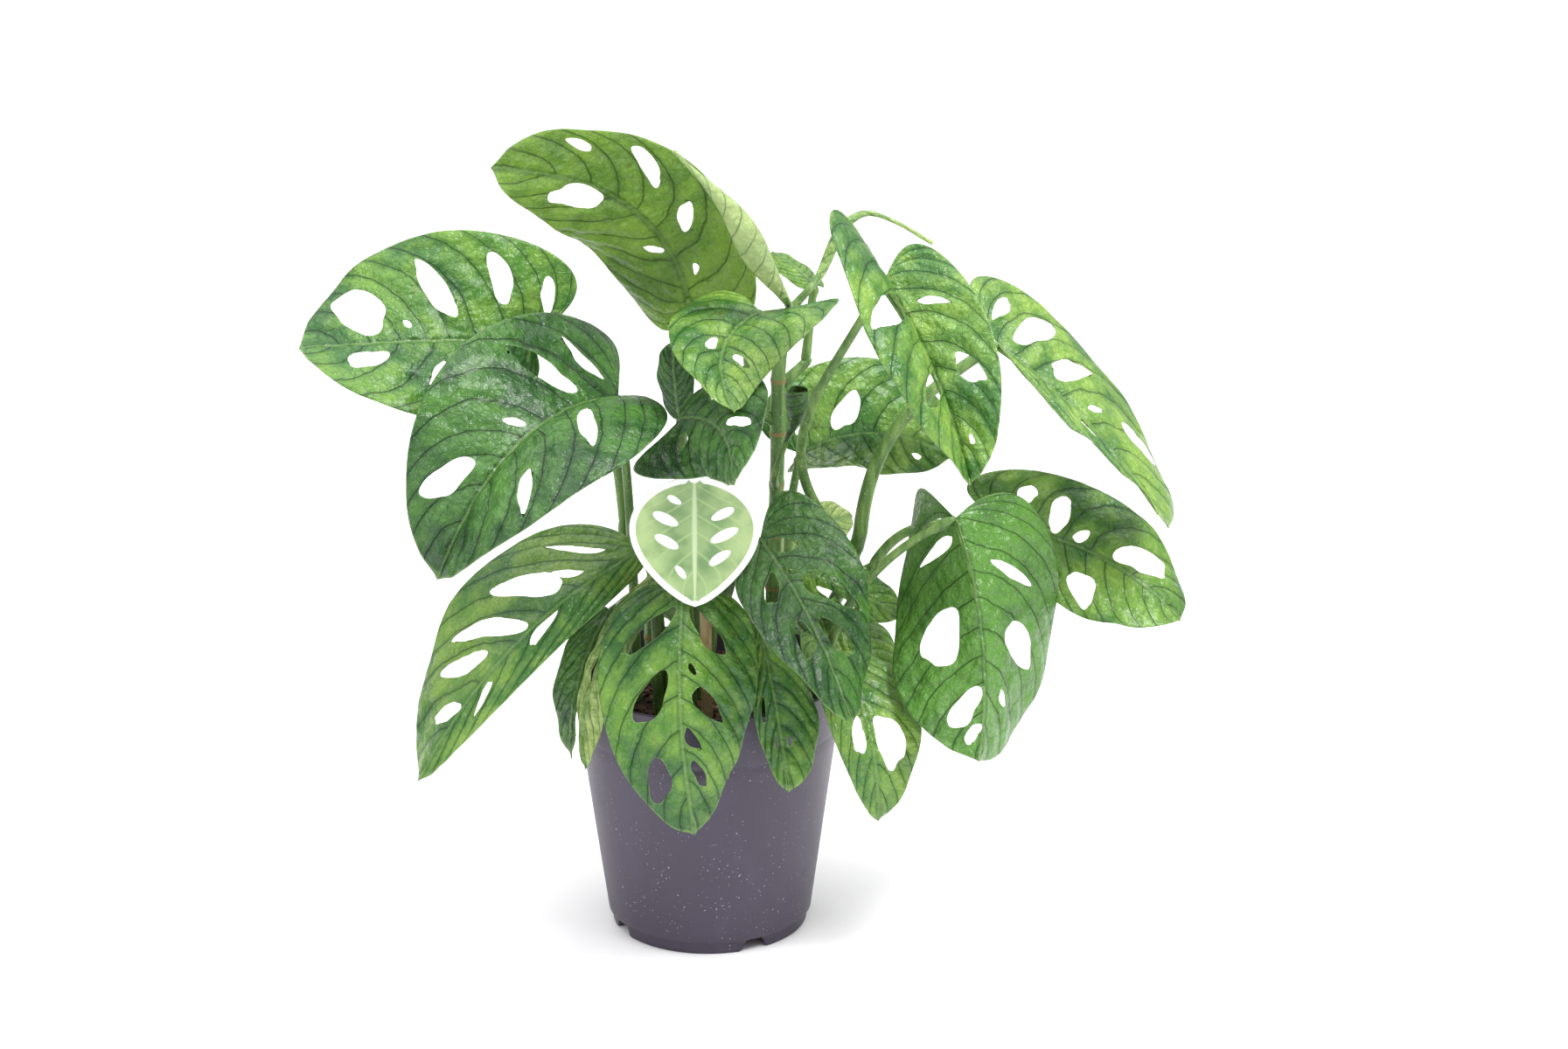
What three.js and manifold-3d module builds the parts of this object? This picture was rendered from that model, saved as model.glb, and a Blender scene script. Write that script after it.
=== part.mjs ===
// A potted monstera with holed leaves: a plastic nursery pot, potting soil, three stems,
// leaves on stalks, and a plant label on a stick.
// Millimetres, +Z up. The origin is the centre of the pot's underside, and -Y is the front.
import * as THREE from 'three';
import { mergeVertices } from 'three/addons/utils/BufferGeometryUtils.js';
import Module from 'manifold-3d';

const wasm = await Module();
wasm.setup();

// Pot
const potHeight = 116;
const rimRadius = 60;
const wallFootRadius = 45;
const wall = 1.6;
const footRadius = 43;
const footHeight = 6;
const footWidth = 3;
const floorLift = 4.5;
const padRadius = 22;
const collarHeight = 24;
const collarStep = 0.6;
const potSides = 48;
const notchCount = 4;
const notchTurn = 28;
const notchMouth = 13;
const notchRoof = 8;
const notchHeight = 5.2;
const drainCount = 8;
const drainRadius = 3.5;
const drainRing = 31;
const boreSides = 12;
const softEdge = 0.6;
const floorSlope = 2;
const weld = 1e-4;

// Soil
const soilTop = 103;
const soilHeap = 3;
const soilSides = 32;
const gap = 0.35;
const rootDepth = 12;
const rootLevel = soilTop - rootDepth;
const socketRoom = 2.2;
const socketSides = 8;
const soilCorner = 4;

// Plant
const stemRadius = 3.6;
const stemSides = 8;
const stemSteps = 10;
const stalkRadius = 2.2;
const stalkSides = 6;
const stalkSteps = 8;
const stalkGap = 5;
const bladeThickness = 0.9;
const tipSweep = 0.14;
const slant = 0.3;
const probe = 0.5;
const bandStep = 0.15;
const holeMargin = 0.015;
const rimRoom = 0.02;
const holeCorners = 6;
const marginStations = [0.01, 0.04, 0.1, 0.2, 0.32, 0.45, 0.58, 0.72, 0.85, 0.94];
const rolledSides = 8;
const rolledSteps = 12;
const rolledSpread = 0.35;
const rolledThinnest = 0.9;

// Label
const cardWidth = 54;
const cardHeight = 58;
const cardThickness = 0.7;
const cardSteps = 10;
const cardNotch = 3;
const cardTip = new THREE.Vector3(-4, -59, 166);
const cardLean = 6;
const stickWidth = 5;
const stickThickness = 2;
const stickFoot = new THREE.Vector3(0, -26, rootLevel);
const stickTop = new THREE.Vector3(0, -50.5, 214);

const tones = { dark: 0x1f5a35, mid: 0x2f8a35, light: 0x4fa83c, pale: 0x86bb62 };
const colours = {
  pot: 0x5c5467, soil: 0x3a271f, stem: 0x5d8f3c, stalk: 0x6fa046, card: 0xf2f4ef, stick: 0xd9bf95,
};

// Each stem is a smooth curve through its points, rooted in the soil at the first one.
const stems = {
  stem_left: [[-24, 12, rootLevel], [-25, 13, 128], [-24, 13, 158], [-29, 13, 184]],
  stem_center: [[27, 14, rootLevel], [28, 12, 140], [30, 6, 205], [31, 2, 255], [36, -4, 280]],
  stem_right: [[47, 20, rootLevel], [50, 20, 126], [59, 18, 150], [65, 11, 170]],
};

// Each leaf's blade runs from base to tip with its upper side towards face. arch, sway and twist bend
// the midrib. width, lobe, fold and curl are [left, right] as seen from the base; angles are in degrees.
// A hole is [place along the midrib, place across, length, width], as shares of the blade; across is
// positive on the left, and a hole leans as the side veins do. The stalk leaves foot along rise and
// reaches the base along into; thick is its radius where it is not the usual one.
const leaves = {
  crown_left: { tone: 'mid', base: [-8, 16, 279], tip: [-86, -38, 347], face: [-0.3, -1, 0.2],
    arch: 2, sway: -20, twist: 20, width: [30, 36], widest: 0.4, lobe: [0.2, 0.25],
    fold: [-5, 12], curl: [-25, 15],
    holes: [[0.66, 0.33, 0.18, 0.56], [0.26, 0.19, 0.04, 0.25], [0.69, -0.74, 0.05, 0.22],
      [0.52, -0.67, 0.06, 0.46], [0.35, -0.45, 0.06, 0.31], [0.15, -0.28, 0.04, 0.1]],
    foot: [-2, 14, rootLevel], rise: [8, 0, 70], into: [-12, 2, 50] },
  left_upper: { tone: 'mid', base: [-76, 8, 263], tip: [-169, -25, 268], face: [-0.2, -1, 0.75],
    arch: 7, sway: 2, twist: 50, width: [38, 48], widest: 0.4, lobe: [0.1, 0.3],
    fold: [15, 0], curl: [-20, 0],
    holes: [[0.69, -0.52, 0.18, 0.7], [0.4, -0.49, 0.09, 0.52], [0.22, -0.63, 0.06, 0.47],
      [0.08, -0.72, 0.08, 0.22], [0.7, 0.4, 0.12, 0.46], [0.43, 0.44, 0.04, 0.31],
      [0.53, -0.18, 0.03, 0.1]],
    foot: [-36, 13, 174], rise: [-4, 0, 50], into: [-30, 0, 22] },
  left_front: { tone: 'dark', base: [-36, -28, 248], tip: [-107, -95, 190], face: [-0.2, -1, 0.8],
    arch: 28, sway: -4, twist: 5, width: [48, 48], widest: 0.3, lobe: [0, 0.25],
    fold: [40, 10], curl: [-45, 10],
    holes: [[0.68, -0.54, 0.11, 0.53], [0.57, 0.66, 0.05, 0.38], [0.44, -0.18, 0.04, 0.18],
      [0.12, -0.54, 0.06, 0.4], [0.25, -0.45, 0.08, 0.59], [0.31, 0.46, 0.07, 0.45]],
    foot: [-31, -6, rootLevel], rise: [0, -2, 60], into: [-3, -18, 40] },
  center_dark: { tone: 'dark', base: [-9, -46, 244], tip: [13, -95, 230], face: [-0.21, -1, 0.16],
    arch: 1, sway: 10, twist: 25, width: [30, 27], widest: 0.25, lobe: [0.15, 0.4],
    fold: [5, -3], curl: [-54, -24],
    holes: [[0.27, 0.4, 0.12, 0.24], [0.57, 0.49, 0.07, 0.5], [0.2, -0.42, 0.08, 0.27]],
    foot: [-12, -14, rootLevel], rise: [0, -6, 80], into: [2, -16, 26] },
  center_small: { tone: 'dark', base: [-11, -28, 239], tip: [-13, -25, 271], face: [-0.4, -1, 0.2],
    arch: 2, sway: 0, twist: 15, width: [10, 9], widest: 0.42, lobe: [0.1, 0.1],
    fold: [-10, 5], curl: [-30, -10], holes: [],
    foot: [-5, -8, rootLevel], rise: [0, -4, 80], into: [-4, -10, 30] },
  center_top: { tone: 'light', base: [23, -22, 283], tip: [13, -80, 256], face: [0.3, -1, 1],
    arch: 1, sway: -11, twist: -30, width: [28, 26], widest: 0.25, lobe: [0.4, 0.1],
    fold: [10, 15], curl: [-5, -35],
    holes: [[0.22, -0.37, 0.06, 0.15], [0.47, -0.25, 0.1, 0.24], [0.55, 0.42, 0.07, 0.39]],
    foot: [20, 2, 235], rise: [-4, -2, 30], into: [4, -10, 10] },
  right_top: { tone: 'light', base: [73, -52, 303], tip: [107, -98, 231], face: [0.6, -1, 0.6],
    arch: 4, sway: 3, twist: 20, width: [29, 50], widest: 0.3, lobe: [0.15, 0.35],
    fold: [40, 60], curl: [0, -60],
    holes: [[0.28, -0.51, 0.1, 0.78], [0.49, 0.56, 0.1, 0.42], [0.56, -0.4, 0.11, 0.67],
      [0.39, -0.13, 0.04, 0.16], [0.77, 0.49, 0.04, 0.16], [0.22, 0.48, 0.04, 0.36]],
    foot: [58, 5, 174], rise: [-36, -12, 46], into: [23, -14, 48] },
  right_back: { tone: 'light', base: [124, 12, 260], tip: [196, -22, 188], face: [1.2, -1, 1.1],
    arch: 2, sway: 7, twist: -30, width: [46, 23], widest: 0.4, lobe: [0.3, -0.1],
    fold: [-5, 25], curl: [-20, -5],
    holes: [[0.1, 0.68, 0.06, 0.25], [0.19, 0.57, 0.08, 0.61], [0.31, 0.4, 0.09, 0.47],
      [0.47, -0.4, 0.06, 0.3], [0.45, 0.22, 0.04, 0.16], [0.6, 0.69, 0.11, 0.42]],
    foot: [66, 9, 176], rise: [4, 4, 40], into: [34, 4, 22], thick: 3 },
  back_small: { tone: 'mid', base: [46, 12, 286], tip: [28, 38, 294], face: [-0.2, -1, 3],
    arch: 2, sway: 0, twist: -5, width: [8, 10], widest: 0.35, lobe: [0.1, 0.1],
    fold: [0, -20], curl: [-15, -35], holes: [],
    foot: [42, 10, 252], rise: [2, 4, 14], into: [2, 4, 12] },
  center_back: { tone: 'light', base: [40, 22, 208], tip: [106, 28, 204], face: [0, -1, 0.1],
    arch: 1, sway: 10, twist: -40, width: [34, 27], widest: 0.35, lobe: [0.2, 0.2],
    fold: [-10, -25], curl: [-20, -30],
    holes: [[0.33, 0.33, 0.12, 0.47], [0.76, -0.5, 0.06, 0.18], [0.11, 0.44, 0.04, 0.17]],
    foot: [35, 20, 160], rise: [0, 6, 20], into: [4, 4, 20] },
  right_front: { tone: 'dark', base: [105, -32, 196], tip: [114, -80, 105], face: [0.15, -1, 0.6],
    arch: -2, sway: 7, twist: -50, width: [50, 50], widest: 0.36, lobe: [0.1, 0.25],
    fold: [-35, -45], curl: [-15, -5],
    holes: [[0.1, -0.58, 0.04, 0.34], [0.16, -0.46, 0.05, 0.56], [0.46, -0.44, 0.21, 0.43],
      [0.76, -0.38, 0.11, 0.66], [0.87, -0.37, 0.06, 0.56], [0.48, 0.52, 0.13, 0.4],
      [0.69, 0.42, 0.04, 0.22], [0.26, 0.45, 0.05, 0.38]],
    foot: [46, -10, rootLevel], rise: [2, -4, 54], into: [30, -8, 18] },
  right_low: { tone: 'mid', base: [140, 10, 176], tip: [204, -12, 143], face: [0.4, -1, 0.8],
    arch: 4, sway: 5, twist: -45, width: [34, 29], widest: 0.45, lobe: [0.5, 0.15],
    fold: [-10, 0], curl: [-15, -10],
    holes: [[0.18, 0.7, 0.06, 0.23], [0.22, 0.42, 0.08, 0.55], [0.29, 0.17, 0.07, 0.22],
      [0.61, 0.42, 0.2, 0.67], [0.4, -0.62, 0.15, 0.5]],
    foot: [71, 9, 160], rise: [12, 2, 20], into: [40, 4, -8] },
  left_low: { tone: 'light', base: [-28, -25, 179], tip: [-120, -75, 94], face: [-0.45, -1, 0.8],
    arch: 18, sway: -2, twist: 25, width: [14, 50], widest: 0.38, lobe: [0.05, 0.05],
    fold: [-15, -20], curl: [-20, 0],
    holes: [[0.14, -0.54, 0.04, 0.44], [0.21, -0.26, 0.04, 0.23], [0.31, -0.42, 0.1, 0.58],
      [0.48, -0.41, 0.08, 0.69], [0.61, -0.43, 0.07, 0.6], [0.77, -0.3, 0.07, 0.5],
      [0.39, 0.25, 0.09, 0.4], [0.64, 0.46, 0.05, 0.49]],
    foot: [-20, -14, rootLevel], rise: [0, -2, 40], into: [-8, -12, 20] },
  front_center: { tone: 'mid', base: [-9, -50, 172], tip: [-4, -80, 72], face: [0.2, -1, 0.4],
    arch: 14, sway: -6, twist: -15, width: [35, 35], widest: 0.3, lobe: [0.05, 0.05],
    fold: [-18, -15], curl: [5, -10],
    holes: [[0.18, -0.42, 0.1, 0.59], [0.42, -0.38, 0.12, 0.53], [0.7, -0.61, 0.12, 0.58],
      [0.17, 0.37, 0.12, 0.45], [0.32, 0.16, 0.04, 0.1], [0.45, 0.39, 0.1, 0.41],
      [0.6, 0.19, 0.07, 0.28], [0.73, 0.37, 0.07, 0.44]],
    foot: [-6, -18, rootLevel], rise: [-2, -4, 50], into: [-2, -18, 12] },
  left_shadow: { tone: 'dark', base: [-42, -18, 150], tip: [-58, -34, 88], face: [-0.7, -1, 0.2],
    arch: 13, sway: 2, twist: 15, width: [4, 12], widest: 0.38, lobe: [0.1, 0.05],
    fold: [0, -5], curl: [5, 5], holes: [],
    foot: [-36, -8, rootLevel], rise: [0, -2, 30], into: [-2, -8, 16] },
  left_edge: { tone: 'pale', base: [-23, -38, 170], tip: [-51, -56, 92], face: [-0.8, -1, 0.4],
    arch: 5, sway: -9, twist: -5, width: [16, 7], widest: 0.34, lobe: [0.1, 0.1],
    fold: [5, -10], curl: [10, -20],
    holes: [[0.51, -0.12, 0.12, 0.14], [0.5, 0.22, 0.09, 0.24], [0.24, -0.12, 0.05, 0.14]],
    foot: [-21, -24, rootLevel], rise: [0, -4, 40], into: [-2, -8, 26] },
  center_right: { tone: 'dark', base: [23, -38, 189], tip: [61, -88, 125], face: [0.5, -1, 0.65],
    arch: 10, sway: -1, twist: -50, width: [35, 25], widest: 0.35, lobe: [0.25, 0],
    fold: [-10, 10], curl: [-10, -10],
    holes: [[0.11, 0.24, 0.09, 0.38], [0.24, 0.12, 0.04, 0.14], [0.38, 0.47, 0.12, 0.68],
      [0.28, -0.38, 0.12, 0.36], [0.56, -0.36, 0.14, 0.52], [0.59, 0.37, 0.13, 0.58]],
    foot: [14, -18, rootLevel], rise: [0, -2, 60], into: [4, -10, 34] },
  rim_right: { tone: 'mid', base: [22, -40, 153], tip: [35, -72, 88], face: [0.25, -1, 0.35],
    arch: 5, sway: 0, twist: 35, width: [20, 10], widest: 0.4, lobe: [0.1, 0],
    fold: [-12, 5], curl: [-20, -15],
    holes: [[0.48, -0.59, 0.09, 0.27], [0.69, -0.34, 0.06, 0.16], [0.7, 0.25, 0.05, 0.15]],
    foot: [24, -20, rootLevel], rise: [0, -2, 26], into: [0, -8, 18] },
  pot_right: { tone: 'light', base: [56, -28, 135], tip: [73, -58, 69], face: [0.15, -1, 0.45],
    arch: 14, sway: 3, twist: 25, width: [27, 18], widest: 0.27, lobe: [0.05, 0.2],
    fold: [-20, 10], curl: [5, -5],
    holes: [[0.5, -0.36, 0.15, 0.45], [0.55, 0.42, 0.26, 0.67]],
    foot: [42, -26, rootLevel], rise: [0, 0, 26], into: [4, -12, 10] },
  right_mid: { tone: 'mid', base: [35, 2, 162], tip: [84, -6, 142], face: [0.1, -1, 0.7],
    arch: 6, sway: 1, twist: 35, width: [18, 16], widest: 0.3, lobe: [0.1, 0.1],
    fold: [-20, -20], curl: [-30, -25],
    holes: [[0.35, -0.35, 0.12, 0.25], [0.51, -0.5, 0.12, 0.31]],
    foot: [34, 6, rootLevel], rise: [0, 0, 34], into: [-2, -8, 20] },
  right_under: { tone: 'light', base: [49, 0, 141], tip: [83, -12, 109], face: [0.4, -1, 0.75],
    arch: 5, sway: 3, twist: 15, width: [17, 12], widest: 0.35, lobe: [0.1, 0.1],
    fold: [-15, -5], curl: [-20, -20], holes: [],
    foot: [41, -2, rootLevel], rise: [0, 0, 24], into: [0, -8, 18] },
  back_low: { tone: 'pale', base: [36, 45, 152], tip: [64, 75, 162], face: [0.35, -1, 1],
    arch: 4, sway: 3, twist: 10, width: [12, 12], widest: 0.4, lobe: [0.1, 0.05],
    fold: [10, -10], curl: [-10, -20], holes: [],
    foot: [24, 34, rootLevel], rise: [0, 4, 30], into: [8, 6, 18] },
  rear_left: { tone: 'mid', base: [-12, 42, 150], tip: [-34, 96, 66], face: [-0.3, 1, 0.5],
    arch: 12, sway: 3, twist: 10, width: [34, 32], widest: 0.34, lobe: [0.15, 0.15],
    fold: [-15, -15], curl: [-15, -20],
    holes: [[0.26, 0.46, 0.09, 0.5], [0.47, 0.45, 0.09, 0.5], [0.67, 0.43, 0.07, 0.46],
      [0.32, -0.44, 0.09, 0.48], [0.57, -0.44, 0.09, 0.48]],
    foot: [-12, 26, rootLevel], rise: [0, 2, 34], into: [0, 14, 14] },
  rear_right: { tone: 'dark', base: [30, 50, 128], tip: [52, 92, 56], face: [0.4, 1, 0.45],
    arch: 10, sway: -3, twist: -10, width: [26, 27], widest: 0.36, lobe: [0.15, 0.1],
    fold: [-20, -10], curl: [-15, -15],
    holes: [[0.3, 0.45, 0.09, 0.5], [0.55, 0.42, 0.09, 0.5], [0.4, -0.45, 0.11, 0.5]],
    foot: [22, 44, rootLevel], rise: [0, 2, 24], into: [4, 8, 10] },
};

// Leaves that are still rolled up: a tapering tube through its points, widest at one place along it.
const rolledLeaves = {
  crown_rolled: { tone: 'pale', radius: 6, widest: 0.4,
    points: [[34, -24, 288], [31, -28, 294], [24, -36, 307], [11, -46, 332], [-11, -52, 357]] },
  top_rolled: { tone: 'pale', radius: 2.4, widest: 0.3,
    points: [[44, -2, 288], [49, 6, 293], [57, 12, 309], [67, 15, 316], [80, 17, 312], [96, 20, 302]] },
  funnel: { tone: 'dark', radius: 5, widest: 0.9,
    points: [[29, -4, 206], [34, -6, 222], [38, -8, 233], [39, -10, 246]] },
};

function vector(numbers) {
  return new THREE.Vector3(...numbers);
}

function radians(degrees) {
  return THREE.MathUtils.degToRad(degrees);
}

function makeMesh(name, geometry, colour, roughness = 0.55) {
  const material = new THREE.MeshStandardMaterial({ color: colour, roughness, metalness: 0 });
  const mesh = new THREE.Mesh(geometry, material);
  mesh.name = name;
  return mesh;
}

function toSolid(geometry) {
  const bare = geometry.clone();
  bare.deleteAttribute('normal');
  bare.deleteAttribute('uv');
  const merged = mergeVertices(bare, weld);
  const vertProperties = new Float32Array(merged.attributes.position.array);
  const triVerts = new Uint32Array(merged.index.array);
  return new wasm.Manifold(new wasm.Mesh({ numProp: 3, vertProperties, triVerts }));
}

function toGeometry(solid) {
  const mesh = solid.getMesh();
  const geometry = new THREE.BufferGeometry();
  geometry.setAttribute('position', new THREE.BufferAttribute(new Float32Array(mesh.vertProperties), 3));
  geometry.setIndex(new THREE.BufferAttribute(new Uint32Array(mesh.triVerts), 1));
  geometry.computeVertexNormals();
  return geometry;
}

function roundShape(radius, sides) {
  const shape = new THREE.Shape();
  for (let i = 0; i < sides; i += 1) {
    const angle = (2 * Math.PI * i) / sides;
    const place = [radius * Math.cos(angle), radius * Math.sin(angle)];
    if (i === 0) {
      shape.moveTo(...place);
    } else {
      shape.lineTo(...place);
    }
  }
  shape.closePath();
  return shape;
}

function tube(curve, radius, sides, steps) {
  return new THREE.ExtrudeGeometry(roundShape(radius, sides), { extrudePath: curve, steps });
}

function upright(radius, bottom, top, x, y, sides = boreSides) {
  const cylinder = new THREE.CylinderGeometry(radius, radius, top - bottom, sides);
  cylinder.rotateX(Math.PI / 2);
  cylinder.translate(x, y, (top + bottom) / 2);
  return toSolid(cylinder);
}

// Pot: a lathed cup with a raised floor, a flat pad in the middle and a ring foot with four notches.
function wallRadius(height) {
  return THREE.MathUtils.mapLinear(height, footHeight, potHeight, wallFootRadius, rimRadius);
}

function potProfile() {
  const collarStart = potHeight - collarHeight;
  const floorTop = floorLift + wall;
  const ringInside = footRadius - footWidth;
  const outline = [
    [0, 0], [padRadius, 0], [padRadius + floorSlope, floorLift], [ringInside - floorSlope, floorLift],
    [ringInside, 0], [footRadius, 0], [footRadius, footHeight - softEdge],
    [wallFootRadius, footHeight], [wallRadius(collarStart) - collarStep, collarStart],
    [wallRadius(collarStart), collarStart + softEdge], [rimRadius, potHeight - softEdge],
    [rimRadius - softEdge, potHeight], [rimRadius - wall, potHeight],
    [wallRadius(floorTop + floorSlope) - wall - collarStep, floorTop + floorSlope],
    [wallRadius(floorTop) - wall - floorSlope - softEdge, floorTop],
    [padRadius + 1, floorTop], [padRadius - 1, wall], [0, wall],
  ];
  return outline.map(([radius, height]) => new THREE.Vector2(radius, height));
}

function notchCutter(turn) {
  const inside = footRadius - 3 * footWidth;
  const shape = new THREE.Shape([
    new THREE.Vector2(-notchMouth / 2, -1), new THREE.Vector2(notchMouth / 2, -1),
    new THREE.Vector2(notchRoof / 2, notchHeight), new THREE.Vector2(-notchRoof / 2, notchHeight),
  ]);
  const depth = wallFootRadius + footWidth - inside;
  const cutter = new THREE.ExtrudeGeometry(shape, { depth, bevelEnabled: false });
  cutter.rotateX(Math.PI / 2);
  cutter.rotateZ(Math.PI / 2);
  cutter.translate(inside, 0, 0);
  cutter.rotateZ(turn);
  return toSolid(cutter);
}

function makePot() {
  const cup = new THREE.LatheGeometry(potProfile(), potSides);
  cup.rotateX(Math.PI / 2);
  let solid = toSolid(cup);
  for (let i = 0; i < notchCount; i += 1) {
    solid = solid.subtract(notchCutter(radians(notchTurn) + (2 * Math.PI * i) / notchCount));
  }
  for (let i = 0; i < drainCount; i += 1) {
    const angle = (2 * Math.PI * i) / drainCount;
    const place = [drainRing * Math.cos(angle), drainRing * Math.sin(angle)];
    solid = solid.subtract(upright(drainRadius, floorLift - 1, floorLift + wall + 1, ...place));
  }
  return makeMesh('pot', toGeometry(solid), colours.pot, 0.4);
}

// Soil: fills the pot to just under the rim, with a socket for everything that is rooted in it.
function makeSoil() {
  const floorTop = floorLift + wall + gap;
  const inside = (height) => wallRadius(height) - wall - collarStep - gap;
  const outline = [
    [0, floorTop], [inside(floorTop) - soilCorner, floorTop],
    [inside(floorTop + soilCorner), floorTop + soilCorner],
    [inside(soilTop), soilTop], [inside(soilTop) * 0.6, soilTop + soilHeap * 0.7], [0, soilTop + soilHeap],
  ];
  const lathe = new THREE.LatheGeometry(outline.map((place) => new THREE.Vector2(...place)), soilSides);
  lathe.rotateX(Math.PI / 2);
  let solid = toSolid(lathe);
  const roots = Object.values(stems).map((points) => [points[0], stemRadius]);
  for (const leaf of Object.values(leaves)) {
    if (leaf.foot[2] === rootLevel) {
      roots.push([leaf.foot, stalkRadius]);
    }
  }
  roots.push([stickFoot.toArray(), stickWidth]);
  for (const [[x, y], radius] of roots) {
    solid = solid.subtract(upright(radius + socketRoom, rootLevel - gap, potHeight, x, y, socketSides));
  }
  return makeMesh('soil', toGeometry(solid), colours.soil, 0.95);
}

function makeStem(name, points) {
  const curve = new THREE.CatmullRomCurve3(points.map(vector));
  return makeMesh(name, tube(curve, stemRadius, stemSides, stemSteps), colours.stem);
}

// Blade surface: a point at x along and y across the flattened blade, raised by lift along its upper side.
function bladeFrame(leaf) {
  const base = vector(leaf.base);
  const along = vector(leaf.tip).sub(base);
  const length = along.length();
  along.normalize();
  const up = vector(leaf.face);
  up.addScaledVector(along, -up.dot(along)).normalize();
  const across = new THREE.Vector3().crossVectors(up, along);
  return { base, along, across, up, length };
}

function bladePoint(leaf, frame, x, y) {
  const t = x / frame.length;
  const bow = t < 0 ? 4 * t : 4 * t * (1 - t);
  const slope = (t < 0 ? 4 : 4 - 8 * t) / frame.length;
  const centre = frame.base.clone().addScaledVector(frame.along, x);
  centre.addScaledVector(frame.up, leaf.arch * bow).addScaledVector(frame.across, leaf.sway * bow);
  const along = frame.along.clone().addScaledVector(frame.up, leaf.arch * slope);
  along.addScaledVector(frame.across, leaf.sway * slope).normalize();
  const across = frame.across.clone().addScaledVector(along, -frame.across.dot(along)).normalize();
  const turn = radians(leaf.twist) * (THREE.MathUtils.clamp(t, -0.3, 1) - 0.5);
  across.applyAxisAngle(along, turn);
  const up = new THREE.Vector3().crossVectors(along, across);
  // Across the blade each half is an arc: it leaves the midrib at the fold angle and turns by curl.
  const side = y >= 0 ? 0 : 1;
  const fold = radians(leaf.fold[side]);
  const curl = radians(leaf.curl[side] || 0.1);
  const reach = leaf.width[side];
  const end = fold + (curl * Math.abs(y)) / reach;
  const out = ((Math.sin(end) - Math.sin(fold)) * reach) / curl;
  const rise = ((Math.cos(fold) - Math.cos(end)) * reach) / curl;
  return centre.addScaledVector(across, side === 0 ? out : -out).addScaledVector(up, rise);
}

function liftedPoint(leaf, frame, x, y, lift) {
  const here = bladePoint(leaf, frame, x, y);
  const ahead = bladePoint(leaf, frame, x + probe, y).sub(bladePoint(leaf, frame, x - probe, y));
  const beside = bladePoint(leaf, frame, x, y + probe).sub(bladePoint(leaf, frame, x, y - probe));
  return here.addScaledVector(ahead.cross(beside).normalize(), lift);
}

// Flattened place of a point at t along and s across. The margin sweeps towards the tip by a curve
// of t that peaks at 1, and its lobes reach back past the base by another that does.
function flatPlace(leaf, length, t, s) {
  const side = s >= 0 ? 0 : 1;
  const power = Math.log(0.5) / Math.log(leaf.widest);
  const roundness = 0.75 + 0.4 * t;
  const reach = leaf.width[side] * Math.max(0, Math.sin(Math.PI * t ** power)) ** roundness;
  const forward = tipSweep * 6.75 * t * t * (1 - t) - leaf.lobe[side] * 4.8 * Math.sqrt(t) * (1 - t) ** 4;
  return new THREE.Vector2(length * (t + Math.abs(s) ** 1.5 * forward), s * reach);
}

// Side veins, and the holes between them, lean towards the tip. This is how far along a vein has come
// by the time it is s across, if it leaves the midrib at root.
function veinPlace(root, s) {
  return root + slant * (1 - root) * Math.abs(s);
}

function veinRoot([t, s]) {
  return (t - slant * Math.abs(s)) / (1 - slant * Math.abs(s));
}

// Vein roots where a half can be cut from midrib to margin without meeting a hole.
function bandRoots(holes) {
  const roots = [0];
  for (let root = bandStep; root < 1 - bandStep / 2; root += bandStep / 6) {
    const clear = holes.every((hole) => Math.abs(root - veinRoot(hole)) > hole[2] * 0.65 + holeMargin);
    if (clear && root - roots.at(-1) >= bandStep) {
      roots.push(root);
    }
  }
  roots.push(1);
  return roots;
}

// One band of a half: along the midrib, out along a vein to the margin, back along it and in again.
function bandOutline(leaf, length, side, start, end, midrib) {
  const outline = [start, ...midrib.filter((t) => t > start && t < end), end].map((t) => [t, 0]);
  const vein = (root) => [[veinPlace(root, 0.5), side / 2], [veinPlace(root, 1), side]];
  if (end < 1) {
    outline.push(...vein(end));
  }
  const rimStart = start > 0 ? veinPlace(start, 1) + rimRoom : 0;
  const rimEnd = end < 1 ? veinPlace(end, 1) - rimRoom : 1;
  const rim = marginStations.filter((t) => t > rimStart && t < rimEnd);
  outline.push(...rim.reverse().map((t) => [t, side]));
  if (start > 0) {
    outline.push(...vein(start).reverse());
  }
  return outline.map(([t, s]) => flatPlace(leaf, length, t, s));
}

function holeOutline(leaf, length, [t, s, long, wide]) {
  const outline = [];
  for (let i = 0; i < holeCorners; i += 1) {
    const angle = (2 * Math.PI * (i + 0.5)) / holeCorners;
    const across = (wide / 2) * Math.cos(angle);
    const along = (long / 2) * Math.sin(angle) + slant * (1 - t) * across * Math.sign(s);
    outline.push(flatPlace(leaf, length, t + along, s + across));
  }
  return outline;
}

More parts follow.
